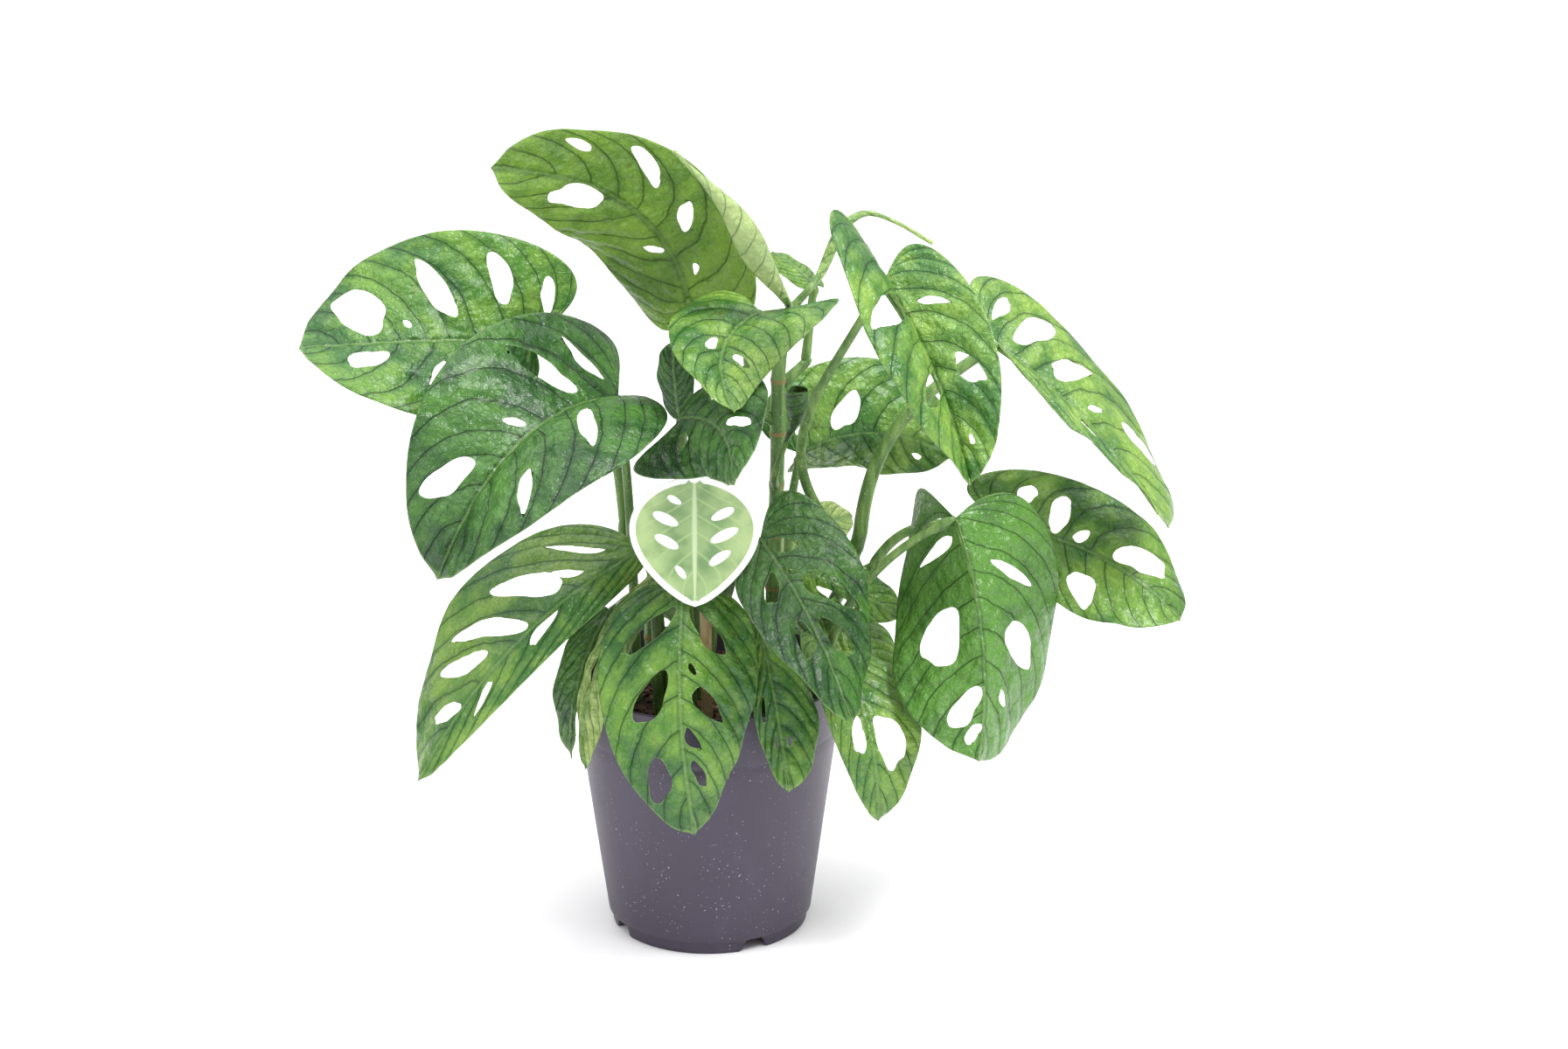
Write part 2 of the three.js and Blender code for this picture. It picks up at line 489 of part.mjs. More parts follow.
function bladeGeometry(leaf) {
  const frame = bladeFrame(leaf);
  const flat = [];
  const seen = new Map();
  const faces = [];
  const indexOf = (place) => {
    const key = `${place.x.toFixed(3)} ${place.y.toFixed(3)}`;
    if (!seen.has(key)) {
      seen.set(key, flat.length);
      flat.push(place);
    }
    return seen.get(key);
  };
  const halves = [1, -1].map((side) => {
    const holes = leaf.holes.filter((hole) => hole[1] * side > 0);
    return { side, holes, roots: bandRoots(holes) };
  });
  const midrib = [...new Set(halves.flatMap((half) => half.roots))].sort((a, b) => a - b);
  for (const { side, holes, roots } of halves) {
    for (let i = 1; i < roots.length; i += 1) {
      const [start, end] = [roots[i - 1], roots[i]];
      const outline = bandOutline(leaf, frame.length, side, start, end, midrib);
      const inBand = (root) => (start === 0 || root > start) && (end === 1 || root < end);
      const inside = holes.filter((hole) => inBand(veinRoot(hole)));
      const holeOutlines = inside.map((hole) => holeOutline(leaf, frame.length, hole));
      const places = outline.concat(...holeOutlines);
      for (const corners of THREE.ShapeUtils.triangulateShape(outline, holeOutlines)) {
        const area = THREE.ShapeUtils.area(corners.map((corner) => places[corner]));
        const face = corners.map((corner) => indexOf(places[corner]));
        faces.push(area > 0 ? face : face.reverse());
      }
    }
  }
  return thickened(leaf, frame, flat, faces);
}

// Closes a sheet of faces into a solid: the upper side, the underside and a wall along every free edge.
function thickened(leaf, frame, flat, faces) {
  const upper = flat.map(({ x, y }) => liftedPoint(leaf, frame, x, y, bladeThickness / 2));
  const lower = flat.map(({ x, y }) => liftedPoint(leaf, frame, x, y, -bladeThickness / 2));
  const under = flat.length;
  const index = [];
  const edges = new Set();
  for (const [a, b, c] of faces) {
    index.push(a, b, c, under + c, under + b, under + a);
    edges.add(`${a} ${b}`).add(`${b} ${c}`).add(`${c} ${a}`);
  }
  for (const edge of edges) {
    const [a, b] = edge.split(' ').map(Number);
    if (!edges.has(`${b} ${a}`)) {
      index.push(b, a, under + a, b, under + a, under + b);
    }
  }
  const geometry = new THREE.BufferGeometry().setFromPoints(upper.concat(lower));
  geometry.setIndex(index);
  geometry.computeVertexNormals();
  return geometry;
}

function makeStalk(name, leaf) {
  const foot = vector(leaf.foot);
  const into = vector(leaf.into);
  const end = vector(leaf.base).addScaledVector(into.clone().normalize(), -stalkGap);
  const rise = foot.clone().add(vector(leaf.rise));
  const curve = new THREE.CubicBezierCurve3(foot, rise, end.clone().sub(into), end);
  return makeMesh(name, tube(curve, leaf.thick ?? stalkRadius, stalkSides, stalkSteps), colours.stalk);
}

// A rolled leaf: rings of a tube whose radius swells and tapers along its curve.
function makeRolled(name, { tone, points, radius, widest }) {
  const curve = new THREE.CatmullRomCurve3(points.map(vector));
  const geometry = tube(curve, 1, rolledSides, rolledSteps);
  const position = geometry.attributes.position;
  const centres = curve.getSpacedPoints(rolledSteps);
  for (let i = 0; i < position.count; i += 1) {
    const place = new THREE.Vector3().fromBufferAttribute(position, i);
    const distances = centres.map((centre) => centre.distanceTo(place));
    const nearest = distances.indexOf(Math.min(...distances));
    const t = nearest / rolledSteps;
    const swell = Math.exp(-(((t - widest) / rolledSpread) ** 2));
    const ringRadius = Math.max(rolledThinnest, radius * swell);
    place.sub(centres[nearest]).multiplyScalar(ringRadius).add(centres[nearest]);
    position.setXYZ(i, place.x, place.y, place.z);
  }
  return makeMesh(name, geometry, tones[tone]);
}

// Label card: the outline of a leaf, pointed at the bottom, leaning back against the stick.
function cardShape() {
  const points = [new THREE.Vector2(0, 0)];
  for (let i = 1; i < cardSteps; i += 1) {
    const t = i / cardSteps;
    const half = (cardWidth / 2) * Math.sin(Math.PI * t ** 1.15) ** 0.7;
    points.push(new THREE.Vector2(half, cardHeight * t ** 0.85));
  }
  points.push(new THREE.Vector2(0, cardHeight - cardNotch));
  const mirrored = points.slice(1, -1).reverse().map(({ x, y }) => new THREE.Vector2(-x, y));
  return new THREE.Shape(points.concat(mirrored));
}

function makeCard() {
  const card = new THREE.ExtrudeGeometry(cardShape(), { depth: cardThickness, bevelEnabled: false });
  const mesh = makeMesh('label_card', card, colours.card, 0.35);
  mesh.rotation.x = Math.PI / 2 - radians(cardLean);
  mesh.position.copy(cardTip);
  return mesh;
}

function makeStick() {
  const reach = stickTop.clone().sub(stickFoot);
  const stick = new THREE.BoxGeometry(stickWidth, stickThickness, reach.length());
  const mesh = makeMesh('label_stick', stick, colours.stick, 0.75);
  mesh.rotation.x = Math.atan2(-reach.y, reach.z);
  mesh.position.copy(stickFoot).addScaledVector(reach, 0.5);
  return mesh;
}

const plant = new THREE.Group();
plant.add(makePot(), makeSoil(), makeCard(), makeStick());
for (const [name, points] of Object.entries(stems)) {
  plant.add(makeStem(name, points));
}
for (const [name, leaf] of Object.entries(leaves)) {
  plant.add(makeMesh(`leaf_${name}`, bladeGeometry(leaf), tones[leaf.tone]));
  plant.add(makeStalk(`stalk_${name}`, leaf));
}
for (const [name, rolled] of Object.entries(rolledLeaves)) {
  plant.add(makeRolled(`leaf_${name}`, rolled));
}

export default plant;
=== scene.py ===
import math

import bmesh
import bpy
import mathutils
import numpy as np
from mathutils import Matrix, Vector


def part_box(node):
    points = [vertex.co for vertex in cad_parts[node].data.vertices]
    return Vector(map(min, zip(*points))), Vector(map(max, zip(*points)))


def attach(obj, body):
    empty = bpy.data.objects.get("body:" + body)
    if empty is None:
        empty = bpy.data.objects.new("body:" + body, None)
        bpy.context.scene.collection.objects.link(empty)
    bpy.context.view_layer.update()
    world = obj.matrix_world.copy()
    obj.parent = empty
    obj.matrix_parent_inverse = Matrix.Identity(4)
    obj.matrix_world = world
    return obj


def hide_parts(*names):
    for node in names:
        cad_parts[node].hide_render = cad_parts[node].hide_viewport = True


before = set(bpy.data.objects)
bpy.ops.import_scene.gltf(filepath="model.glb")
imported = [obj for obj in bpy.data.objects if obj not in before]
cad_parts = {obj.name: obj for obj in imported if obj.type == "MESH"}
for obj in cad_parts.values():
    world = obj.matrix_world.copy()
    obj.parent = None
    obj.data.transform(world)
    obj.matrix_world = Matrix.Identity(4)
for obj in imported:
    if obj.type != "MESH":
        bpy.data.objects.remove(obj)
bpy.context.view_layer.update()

mm = 0.001
random = np.random.default_rng(7)


class Wire:
    # One output socket. Arithmetic on it adds Math nodes.
    def __init__(self, finish, socket):
        self.finish = finish
        self.socket = socket

    def math(self, operation, first, second=0.0):
        return self.finish.node("Math", {"operation": operation}, {0: first, 1: second})

    def __add__(self, other):
        return self.math("ADD", self, other)

    def __radd__(self, other):
        return self.math("ADD", other, self)

    def __sub__(self, other):
        return self.math("SUBTRACT", self, other)

    def __rsub__(self, other):
        return self.math("SUBTRACT", other, self)

    def __mul__(self, other):
        return self.math("MULTIPLY", self, other)

    def __abs__(self):
        return self.math("ABSOLUTE", self)

    def fraction(self):
        return self.math("FRACT", self)

    # 1 up to start, falling smoothly to 0 at end.
    def fade(self, start, end):
        settings = {"interpolation_type": "SMOOTHSTEP"}
        return self.finish.node("MapRange", settings, {0: self, 1: start, 2: end, 3: 1.0, 4: 0.0})

    # 0 up to start, rising smoothly to 1 at end.
    def rise(self, start, end):
        return 1 - self.fade(start, end)


class Finish:
    # A material being made. node() makes any node; the others are short forms of it.
    def __init__(self, name):
        self.material = bpy.data.materials.new(name)
        self.material.use_nodes = True
        self.tree = self.material.node_tree
        self.tree.nodes.clear()

    def node(self, kind, settings=None, inputs=None, output=0):
        made = self.tree.nodes.new("ShaderNode" + kind)
        for key, value in (settings or {}).items():
            setattr(made, key, value)
        for key, value in (inputs or {}).items():
            if isinstance(value, Wire):
                self.tree.links.new(value.socket, made.inputs[key])
            else:
                made.inputs[key].default_value = value
        return Wire(self, made.outputs[output]) if made.outputs else None

    def place(self):
        return self.node("TexCoord", output="Object")

    def pattern(self, axis):
        spot = self.node("UVMap", {"uv_map": "pattern"})
        return self.node("SeparateXYZ", None, {0: spot}, output=axis)

    def field(self, name):
        return self.node("Attribute", {"attribute_name": name}, output="Fac")

    def noise(self, scale, detail=2.0, stretch=(1, 1, 1)):
        spot = self.node("Mapping", None, {"Vector": self.place(), "Scale": stretch})
        return self.node("TexNoise", None, {"Vector": spot, "Scale": scale, "Detail": detail})

    def cells(self, scale):
        settings = {"feature": "DISTANCE_TO_EDGE"}
        return self.node("TexVoronoi", settings, {"Vector": self.place(), "Scale": scale})

    def mix(self, share, first, second):
        return self.node("Mix", {"data_type": "RGBA"}, {0: share, 6: first, 7: second}, output=2)

    # Colours laid over one another: each pair is a share and the colour it brings in.
    def layers(self, colour, *pairs):
        for share, other in pairs:
            colour = self.mix(share, colour, other)
        return colour

    def bump(self, height, distance):
        return self.node("Bump", None, {"Height": height, "Distance": distance})

    def done(self, inputs):
        shader = self.node("BsdfPrincipled", None, inputs)
        self.node("OutputMaterial", None, {"Surface": shader})
        return self.material


# A screen colour such as 0x4fa83c as the linear colour that shaders take.
def tone(code):
    shares = [(code >> shift & 255) / 255 for shift in (16, 8, 0)]
    return tuple(((share + 0.055) / 1.055) ** 2.4 for share in shares) + (1.0,)


def unit(vectors):
    return vectors / np.linalg.norm(vectors, axis=-1, keepdims=True)


# Even angles once round.
def circle(sides):
    return np.linspace(0, 2 * np.pi, sides, endpoint=False)


# Two coordinates turned by an angle in their plane.
def rotate(x, y, angle):
    return x * np.cos(angle) - y * np.sin(angle), x * np.sin(angle) + y * np.cos(angle)


# Smooth noise between 0 and 1: random numbers on a square lattice, blended by cubic weights.
def softNoise(x, y, cell, seed):
    size = 64
    lattice = np.random.default_rng(seed).random((size, size))
    column, row = x / cell + 1000, y / cell + 1000
    i, j = np.floor(column).astype(int), np.floor(row).astype(int)
    u, v = column - i, row - j
    u, v = u * u * (3 - 2 * u), v * v * (3 - 2 * v)
    pick = lambda a, b: lattice[a % size, b % size]
    near = pick(i, j) * (1 - u) + pick(i + 1, j) * u
    far = pick(i, j + 1) * (1 - u) + pick(i + 1, j + 1) * u
    return near * (1 - v) + far * v


# Four-sided faces between neighbouring rows and columns; a closed direction joins its ends.
def gridFaces(rows, columns, closedRows=False, closedColumns=False):
    index = np.arange(rows * columns).reshape(rows, columns)
    if closedRows:
        index = np.concatenate([index, index[:1]])
    if closedColumns:
        index = np.concatenate([index, index[:, :1]], axis=1)
    corners = [index[:-1, :-1], index[1:, :-1], index[1:, 1:], index[:-1, 1:]]
    return np.stack(corners, axis=-1).reshape(-1, 4)


# Puts millimetre points and faces into a new object, joins doubled points and hands it to the frame.
def makePiece(name, points, faces, finishes, node, pattern=None, fields=None):
    mesh = bpy.data.meshes.new(name)
    mesh.from_pydata((points.reshape(-1, 3) * mm).tolist(), [], faces.tolist())
    for finish in finishes:
        mesh.materials.append(finish)
    if pattern is not None:
        layer = mesh.uv_layers.new(name="pattern")
        layer.data.foreach_set("uv", pattern.astype(np.float32).ravel())
    for key, values in (fields or {}).items():
        attribute = mesh.attributes.new(key, "FLOAT", "POINT")
        attribute.data.foreach_set("value", values.astype(np.float32).ravel())
    shell = bmesh.new()
    shell.from_mesh(mesh)
    bmesh.ops.remove_doubles(shell, verts=shell.verts, dist=1e-6)
    shell.to_mesh(mesh)
    shell.free()
    mesh.shade_smooth()
    piece = bpy.data.objects.new(name, mesh)
    bpy.context.scene.collection.objects.link(piece)
    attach(piece, "root")
    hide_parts(node)
    return piece


# Gives a sheet a thickness in millimetres; offset -1 puts it below the sheet and 0 on both sides.
def solidify(piece, thickness, offset, under=0):
    wall = piece.modifiers.new("wall", "SOLIDIFY")
    wall.thickness = thickness * mm
    wall.offset = offset
    wall.material_offset = under
    wall.use_quality_normals = True


# Two directions across a path at each of its points: the second is as near to upward as it can be.
def acrossPath(path, upward):
    along = unit(np.gradient(path, axis=0))
    lift = unit(upward - np.sum(along * upward, axis=1, keepdims=True) * along)
    return np.cross(along, lift), lift


# A tube round a path: each ring lies across the path, and its radius follows radii. Both ends close
# to a point.
def sweep(path, radii, sides, upward):
    beside, lift = acrossPath(path, upward)
    turn = circle(sides)[None, :, None]
    ring = np.cos(turn) * beside[:, None] + np.sin(turn) * lift[:, None]
    points = path[:, None] + ring * radii[:, None, None]
    start, end = (np.repeat(path[[place], None], sides, 1) for place in (0, -1))
    faces = gridFaces(len(path) + 2, sides, closedColumns=True)[:, ::-1]
    return np.concatenate([start, points, end]), faces


# Pot
pot = {
    "footRadius": 43, "footWidth": 3, "footHeight": 6, "wallFoot": 45, "wall": 1.6, "floorLift": 4.5,
    "padRadius": 22, "padEdge": 2, "collarHeight": 24, "collarStep": 0.6, "rimRound": 0.5,
    "notches": 4, "notchTurn": 28, "notchMouth": 13, "notchRoof": 8, "notchHeight": 5.2,
    "drains": 8, "drainRadius": 3.5, "drainRing": 31, "sides": 288, "floorSides": 192,
    "plastic": tone(0x393242), "dust": tone(0x9a92a2), "scuff": tone(0x4e475a),
}


# Moulded plastic: fine grain, faint upright draw lines, dull scuffs and a few pale specks of dust.
def makePlastic():
    finish = Finish("pot_plastic")
    scuffs = finish.noise(45, 4, (1, 1, 0.4)).rise(0.5, 0.75)
    streaks = finish.noise(260, 2, (1, 1, 0.03))
    specks = finish.noise(900, 1).rise(0.7, 0.74) * finish.noise(60, 1).rise(0.4, 0.5)
    grain = finish.noise(2600, 2)
    scuffed = (scuffs * 0.35 + streaks * 0.12, pot["scuff"])
    return finish.done({
        "Base Color": finish.layers(pot["plastic"], scuffed, (specks * 0.8, pot["dust"])),
        "Roughness": 0.42 + scuffs * 0.12 + specks * 0.3,
        "IOR": 1.46,
        "Normal": finish.bump(grain * 0.5 + streaks * 0.5 + specks, 0.00006),
    })


# Profile of the wall, from the channel behind the foot, round the foot, up outside and down inside.
def wallProfile():
    rim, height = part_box("pot")[1].x / mm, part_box("pot")[1].z / mm
    collar = height - pot["collarHeight"]
    slope = lambda z: np.interp(z, [pot["footHeight"], height], [pot["wallFoot"], rim])
    inner, outer = pot["footRadius"] - pot["footWidth"], pot["footRadius"]
    lift, wall, soft = pot["floorLift"], pot["wall"], pot["rimRound"]
    foot = [(inner - 2.2, lift), (inner - 0.9, lift - 0.2), (inner, lift - 1.4), (inner, 2), (inner, 0.4),
            (inner + 0.4, 0), (outer - 0.5, 0), (outer, 0.5), (outer, 2), (outer, 3.6), (outer, 4.8),
            (outer + 0.3, 5.5), (pot["wallFoot"] - 0.6, 5.8), (pot["wallFoot"], 6.4)]
    body = [(slope(z) - 0.1, z) for z in np.linspace(9, collar - 1.5, 18)]
    collarLine = [(slope(collar) - pot["collarStep"], collar), (slope(collar) - 0.3, collar + 0.25),
                  (slope(collar), collar + 0.6), (slope(collar + 1.5), collar + 1.5)]
    band = [(slope(z), z) for z in np.linspace(collar + 4, height - 1.2, 6)]
    lip = [(rim, height - soft), (rim - soft * 0.3, height - soft * 0.3), (rim - soft, height)]
    lip += [(2 * rim - wall - radius, z) for radius, z in lip[::-1]]
    inside = [(slope(z) - wall - pot["collarStep"] * 0.8, z) for z in np.linspace(height - 6, lift + 6, 14)]
    floorEdge = [(slope(lift + 3) - wall - 1.2, lift + 3), (slope(lift) - wall - 3, lift + wall),
                 (inner - 2.2, lift + wall)]
    return np.array(foot + body + collarLine + band + lip + inside + floorEdge)


# The wall is its profile turned round the axis; inside a notch the foot is lifted to the notch's roof.
def makePotWall(plastic):
    profile = wallProfile()
    angle = circle(pot["sides"])
    start = np.radians(pot["notchTurn"])
    step = 2 * np.pi / pot["notches"]
    aside = np.abs((angle - start + step / 2) % step - step / 2) * pot["footRadius"]
    notch = np.interp(aside, [pot["notchRoof"] / 2, pot["notchMouth"] / 2], [pot["notchHeight"], 0])
    radius, height = profile[:, :1], profile[:, 1:]
    inFoot = (radius < pot["footRadius"] + 0.4) & (height < pot["footHeight"])
    lifted = np.where(inFoot, np.maximum(height, notch), height)
    points = np.stack([radius * np.cos(angle), radius * np.sin(angle), lifted + 0 * angle], axis=-1)
    faces = gridFaces(len(profile), pot["sides"], closedRows=True, closedColumns=True)[:, ::-1]
    makePiece("pot_wall", points, faces, [plastic], "pot")


# Moves the grid points just inside a hole out to its edge and says which points were inside. u and v
# are measured from the hole's centre in its own half sizes, and edge is its radius at each turn.
def openHole(u, v, edge):
    reach = np.hypot(u, v)
    inside = reach < edge
    solid = np.pad(~inside, 1, mode="edge")
    rows, columns = inside.shape
    near = np.zeros_like(inside)
    for i in range(3):
        for j in range(3):
            near |= solid[i:i + rows, j:j + columns]
    scale = np.where(inside & near, edge / np.maximum(reach, 1e-6), 1.0)
    return inside, u * scale, v * scale


# The pot's floor: a flat pad, a raised channel and round drain holes, as rings about the axis.
def makePotFloor(plastic):
    inner = pot["footRadius"] - pot["footWidth"] - 2
    pad = pot["padRadius"]
    channel = pad + pot["padEdge"]
    radius = np.concatenate([np.linspace(0.01, pad, 8), np.linspace(channel, inner, 20)])
    angle = np.linspace(0, 2 * np.pi, pot["floorSides"] + 1)
    radii, angles = np.meshgrid(radius, angle, indexing="ij")
    gone = np.zeros(radii.shape, bool)
    for i in range(pot["drains"]):
        centre = 2 * np.pi * i / pot["drains"]
        turned = (angles - centre + np.pi) % (2 * np.pi) - np.pi
        size = pot["drainRadius"] / pot["drainRing"]
        u, v = (radii - pot["drainRing"]) / pot["drainRadius"], turned / size
        inside, u2, v2 = openHole(u, v, 1.0)
        radii = np.where(inside, pot["drainRing"] + u2 * pot["drainRadius"], radii)
        angles = np.where(inside, angles + (v2 - v) * size, angles)
        gone |= inside
    heights = np.interp(radii, [pad, channel], [0, pot["floorLift"]])
    points = np.stack([radii * np.cos(angles), radii * np.sin(angles), heights], axis=-1)
    faces = gridFaces(*radii.shape)
    faces = faces[~gone.ravel()[faces].all(axis=1)][:, ::-1]
    piece = makePiece("pot_floor", points, faces, [plastic], "pot")
    solidify(piece, pot["wall"], -1)


plastic = makePlastic()
makePotWall(plastic)
makePotFloor(plastic)
print("pot made")

# Soil
soil = {
    "heap": 3, "sink": 3.4, "rough": [(3.0, 13), (2.2, 4.5), (1.2, 1.8)], "tintCell": 2.2,
    "rings": 60, "sides": 180, "lumps": 1500,
    "dark": tone(0x2a1a14), "brown": tone(0x4a3024), "bark": tone(0x7a5238), "root": tone(0xb08c62),
}


# Peat and bark: dark brown with browner patches, redder on the lumps and rough all over.
def makeEarth():
    finish = Finish("potting_soil")
    patches = finish.noise(140, 4)
    crumbs = finish.noise(900, 5)
    tint = finish.field("tint")
    colour = finish.layers(
        soil["dark"], (patches.rise(0.35, 0.65), soil["brown"]),
        (tint.rise(0.45, 0.95) * 0.8, soil["bark"]), (tint.rise(0.955, 0.97), soil["root"]),
        (crumbs.rise(0.55, 0.8) * 0.4, soil["bark"]))
    return finish.done({
        "Base Color": colour,
        "Roughness": 0.95 - patches * 0.2,
        "Normal": finish.bump(crumbs + patches * 0.5, 0.0012),
    })


# Height of the soil: a low heap, with lumps and hollows of three sizes, each a height and a width.
def soilHeight(x, y):
    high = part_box("soil")[1]
    edge, top = high.x / mm, high.z / mm - soil["heap"]
    heap = soil["heap"] * np.clip(1 - (np.hypot(x, y) / edge) ** 2, 0, 1)
    rough = sum(tall * softNoise(x, y, wide, seed) for seed, (tall, wide) in enumerate(soil["rough"], 1))
    return top + heap - soil["sink"] + rough


# The soil's top is rings about the axis at that height; its side and underside close it inside the pot.
def makeSoil(earth):
    low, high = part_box("soil")
    edge, foot = high.x / mm, low.z / mm
    radius = np.concatenate([[0.01], np.linspace(1, edge - 0.3, soil["rings"])])
    radii, angles = np.meshgrid(radius, circle(soil["sides"]), indexing="ij")
    x, y = radii * np.cos(angles), radii * np.sin(angles)
    top = np.stack([x, y, soilHeight(x, y)], axis=-1)
    side = top[-1] * [[0.78, 0.78, 0]] + [[0, 0, foot + 4]]
    under = side * [[0.9, 0.9, 0]] + [[0, 0, foot + 0.3]]
    centre = under * [[0.001, 0.001, 1]]
    points = np.concatenate([top, side[None], under[None], centre[None]])
    faces = gridFaces(len(points), soil["sides"], closedColumns=True)
    tint = np.concatenate([softNoise(x, y, soil["tintCell"], 5), np.zeros((3, soil["sides"]))])
    makePiece("soil_bed", points, faces, [earth], "soil", fields={"tint": tint})


# Loose crumbs of bark: small faceted lumps, each stretched, turned and tinted at random.
def makeCrumbs(earth):
    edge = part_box("soil")[1].x / mm - 3
    count = soil["lumps"]
    rise = np.radians([-90, -35, 20, 90])
    turn = np.radians([0, 72, 144, 216, 288])
    lump = np.stack([np.cos(rise)[:, None] * np.cos(turn), np.cos(rise)[:, None] * np.sin(turn),
                     np.sin(rise)[:, None] + 0 * turn], axis=-1).reshape(-1, 3)
    size = random.uniform(0.4, 1.3, (count, 1, 1)) * random.uniform(0.5, 1.7, (count, 1, 3))
    jitter = 1 + 0.25 * random.standard_normal((count, len(lump), 1))
    shape = lump * size * jitter
    spin = random.uniform(0, np.pi, (count, 1))
    tilt = random.uniform(-1.2, 1.2, (count, 1))
    x, z = rotate(shape[..., 0], shape[..., 2], tilt)
    x, y = rotate(x, shape[..., 1], spin)
    away = edge * np.sqrt(random.random((count, 1)))
    bearing = random.uniform(0, 2 * np.pi, (count, 1))
    east, north = away * np.cos(bearing), away * np.sin(bearing)
    ground = np.minimum(soilHeight(east, north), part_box("soil")[1].z / mm + 2)
    points = np.stack([x + east, y + north, z + ground + 0.2], axis=-1)
    faces = gridFaces(4, 5, closedColumns=True)
    faces = (faces[None] + len(lump) * np.arange(count)[:, None, None]).reshape(-1, 4)
    tint = np.repeat(random.random(count), len(lump))
    makePiece("soil_crumbs", points, faces, [earth], "soil", fields={"tint": tint})


earth = makeEarth()
makeSoil(earth)
makeCrumbs(earth)
print("soil made")

# Stems and stalks
growth = {
    "stemRadius": 3.4, "joint": 24, "stemSides": 20, "stemRings": 110, "scarTop": 100,
    "stalkRadius": 2.2, "stalkSides": 16, "stalkRings": 90, "ribRings": 50, "fork": 8,
    "green": tone(0x4a6f32), "light": tone(0x749650), "scar": tone(0x8a7a4c), "fleck": tone(0xc4d3a8),
}
stems = {
    "stem_left": [(-24, 12, 91), (-25, 13, 128), (-24, 13, 158), (-29, 13, 184)],
    "stem_center": [(27, 14, 91), (28, 12, 140), (30, 6, 205), (31, 2, 255), (36, -4, 280)],
    "stem_right": [(47, 20, 91), (50, 20, 126), (59, 18, 150), (65, 11, 170)],
}


# Green stem skin: long pale streaks, fine flecks and corky bands where the scar field is high.
def makeSkin(name, deep, pale):
    finish = Finish(name)
    streaks = finish.noise(300, 3, (1, 1, 0.12))
    flecks = finish.noise(1300, 1).rise(0.66, 0.72)
    scars = finish.field("scar")
    colour = finish.layers(
        deep, (streaks.rise(0.35, 0.7), pale), (flecks * 0.5, growth["fleck"]),
        (scars.rise(0.35, 0.9), growth["scar"]))
    return finish.done({
        "Base Color": colour,
        "Roughness": 0.4 + streaks * 0.15 + scars * 0.3,
        "Subsurface Weight": 0.15,
        "Subsurface Radius": (0.4, 0.9, 0.2),
        "Subsurface Scale": 0.002,
        "Normal": finish.bump(streaks + flecks * 0.3 + scars * finish.noise(900, 3), 0.0004),
    })


# A smooth curve through points: between two of them, cubic weights of the four nearest.
def throughPoints(points, steps):
    points = np.array(points, float)
    ends = np.concatenate([[2 * points[0] - points[1]], points, [2 * points[-1] - points[-2]]])
    place = np.linspace(0, len(points) - 1, steps)
    start = np.minimum(place.astype(int), len(points) - 2)
    t = (place - start)[:, None]
    a, b, c, d = (ends[start + k] for k in range(4))
    return 0.5 * (2 * b + (c - a) * t + (2 * a - 5 * b + 4 * c - d) * t**2 + (3 * b - a - 3 * c + d) * t**3)


# How far along the path each of its points lies.
def pathLength(path):
    gaps = np.linalg.norm(np.diff(path, axis=0), axis=1)
    return np.concatenate([[0], np.cumsum(gaps)])


# A stem swells at each joint, where an old leaf left a corky ring, and is corky just above the soil.
def makeStem(name, points, skin):
    path = throughPoints(points, growth["stemRings"])
    length = pathLength(path)
    joint = np.exp(-(((length / growth["joint"]) % 1 - 0.5) * growth["joint"] / 1.5) ** 2)
    radii = growth["stemRadius"] * (1 - 0.12 * length / length[-1]) * (1 + 0.13 * joint)
    radii *= np.sqrt(np.clip((length[-1] - length + 0.3) / growth["stemRadius"], 0, 1))
    points, faces = sweep(path, radii, growth["stemSides"], np.array([0.3, 1.0, 0.1]))
    scar = np.concatenate([joint[:1], joint, joint[-1:]])[:, None] + np.zeros(growth["stemSides"])
    base = np.clip(1 - (points[..., 2] - growth["scarTop"]) / 18, 0, 1) * 0.6
    fields = {"scar": np.maximum(scar, base)}
    makePiece(name + "_grown", points, faces, [skin], name, fields=fields)


stemSkin = makeSkin("stem_skin", growth["green"], growth["light"])
for name, points in stems.items():
    makeStem(name, points, stemSkin)
print("stems made")
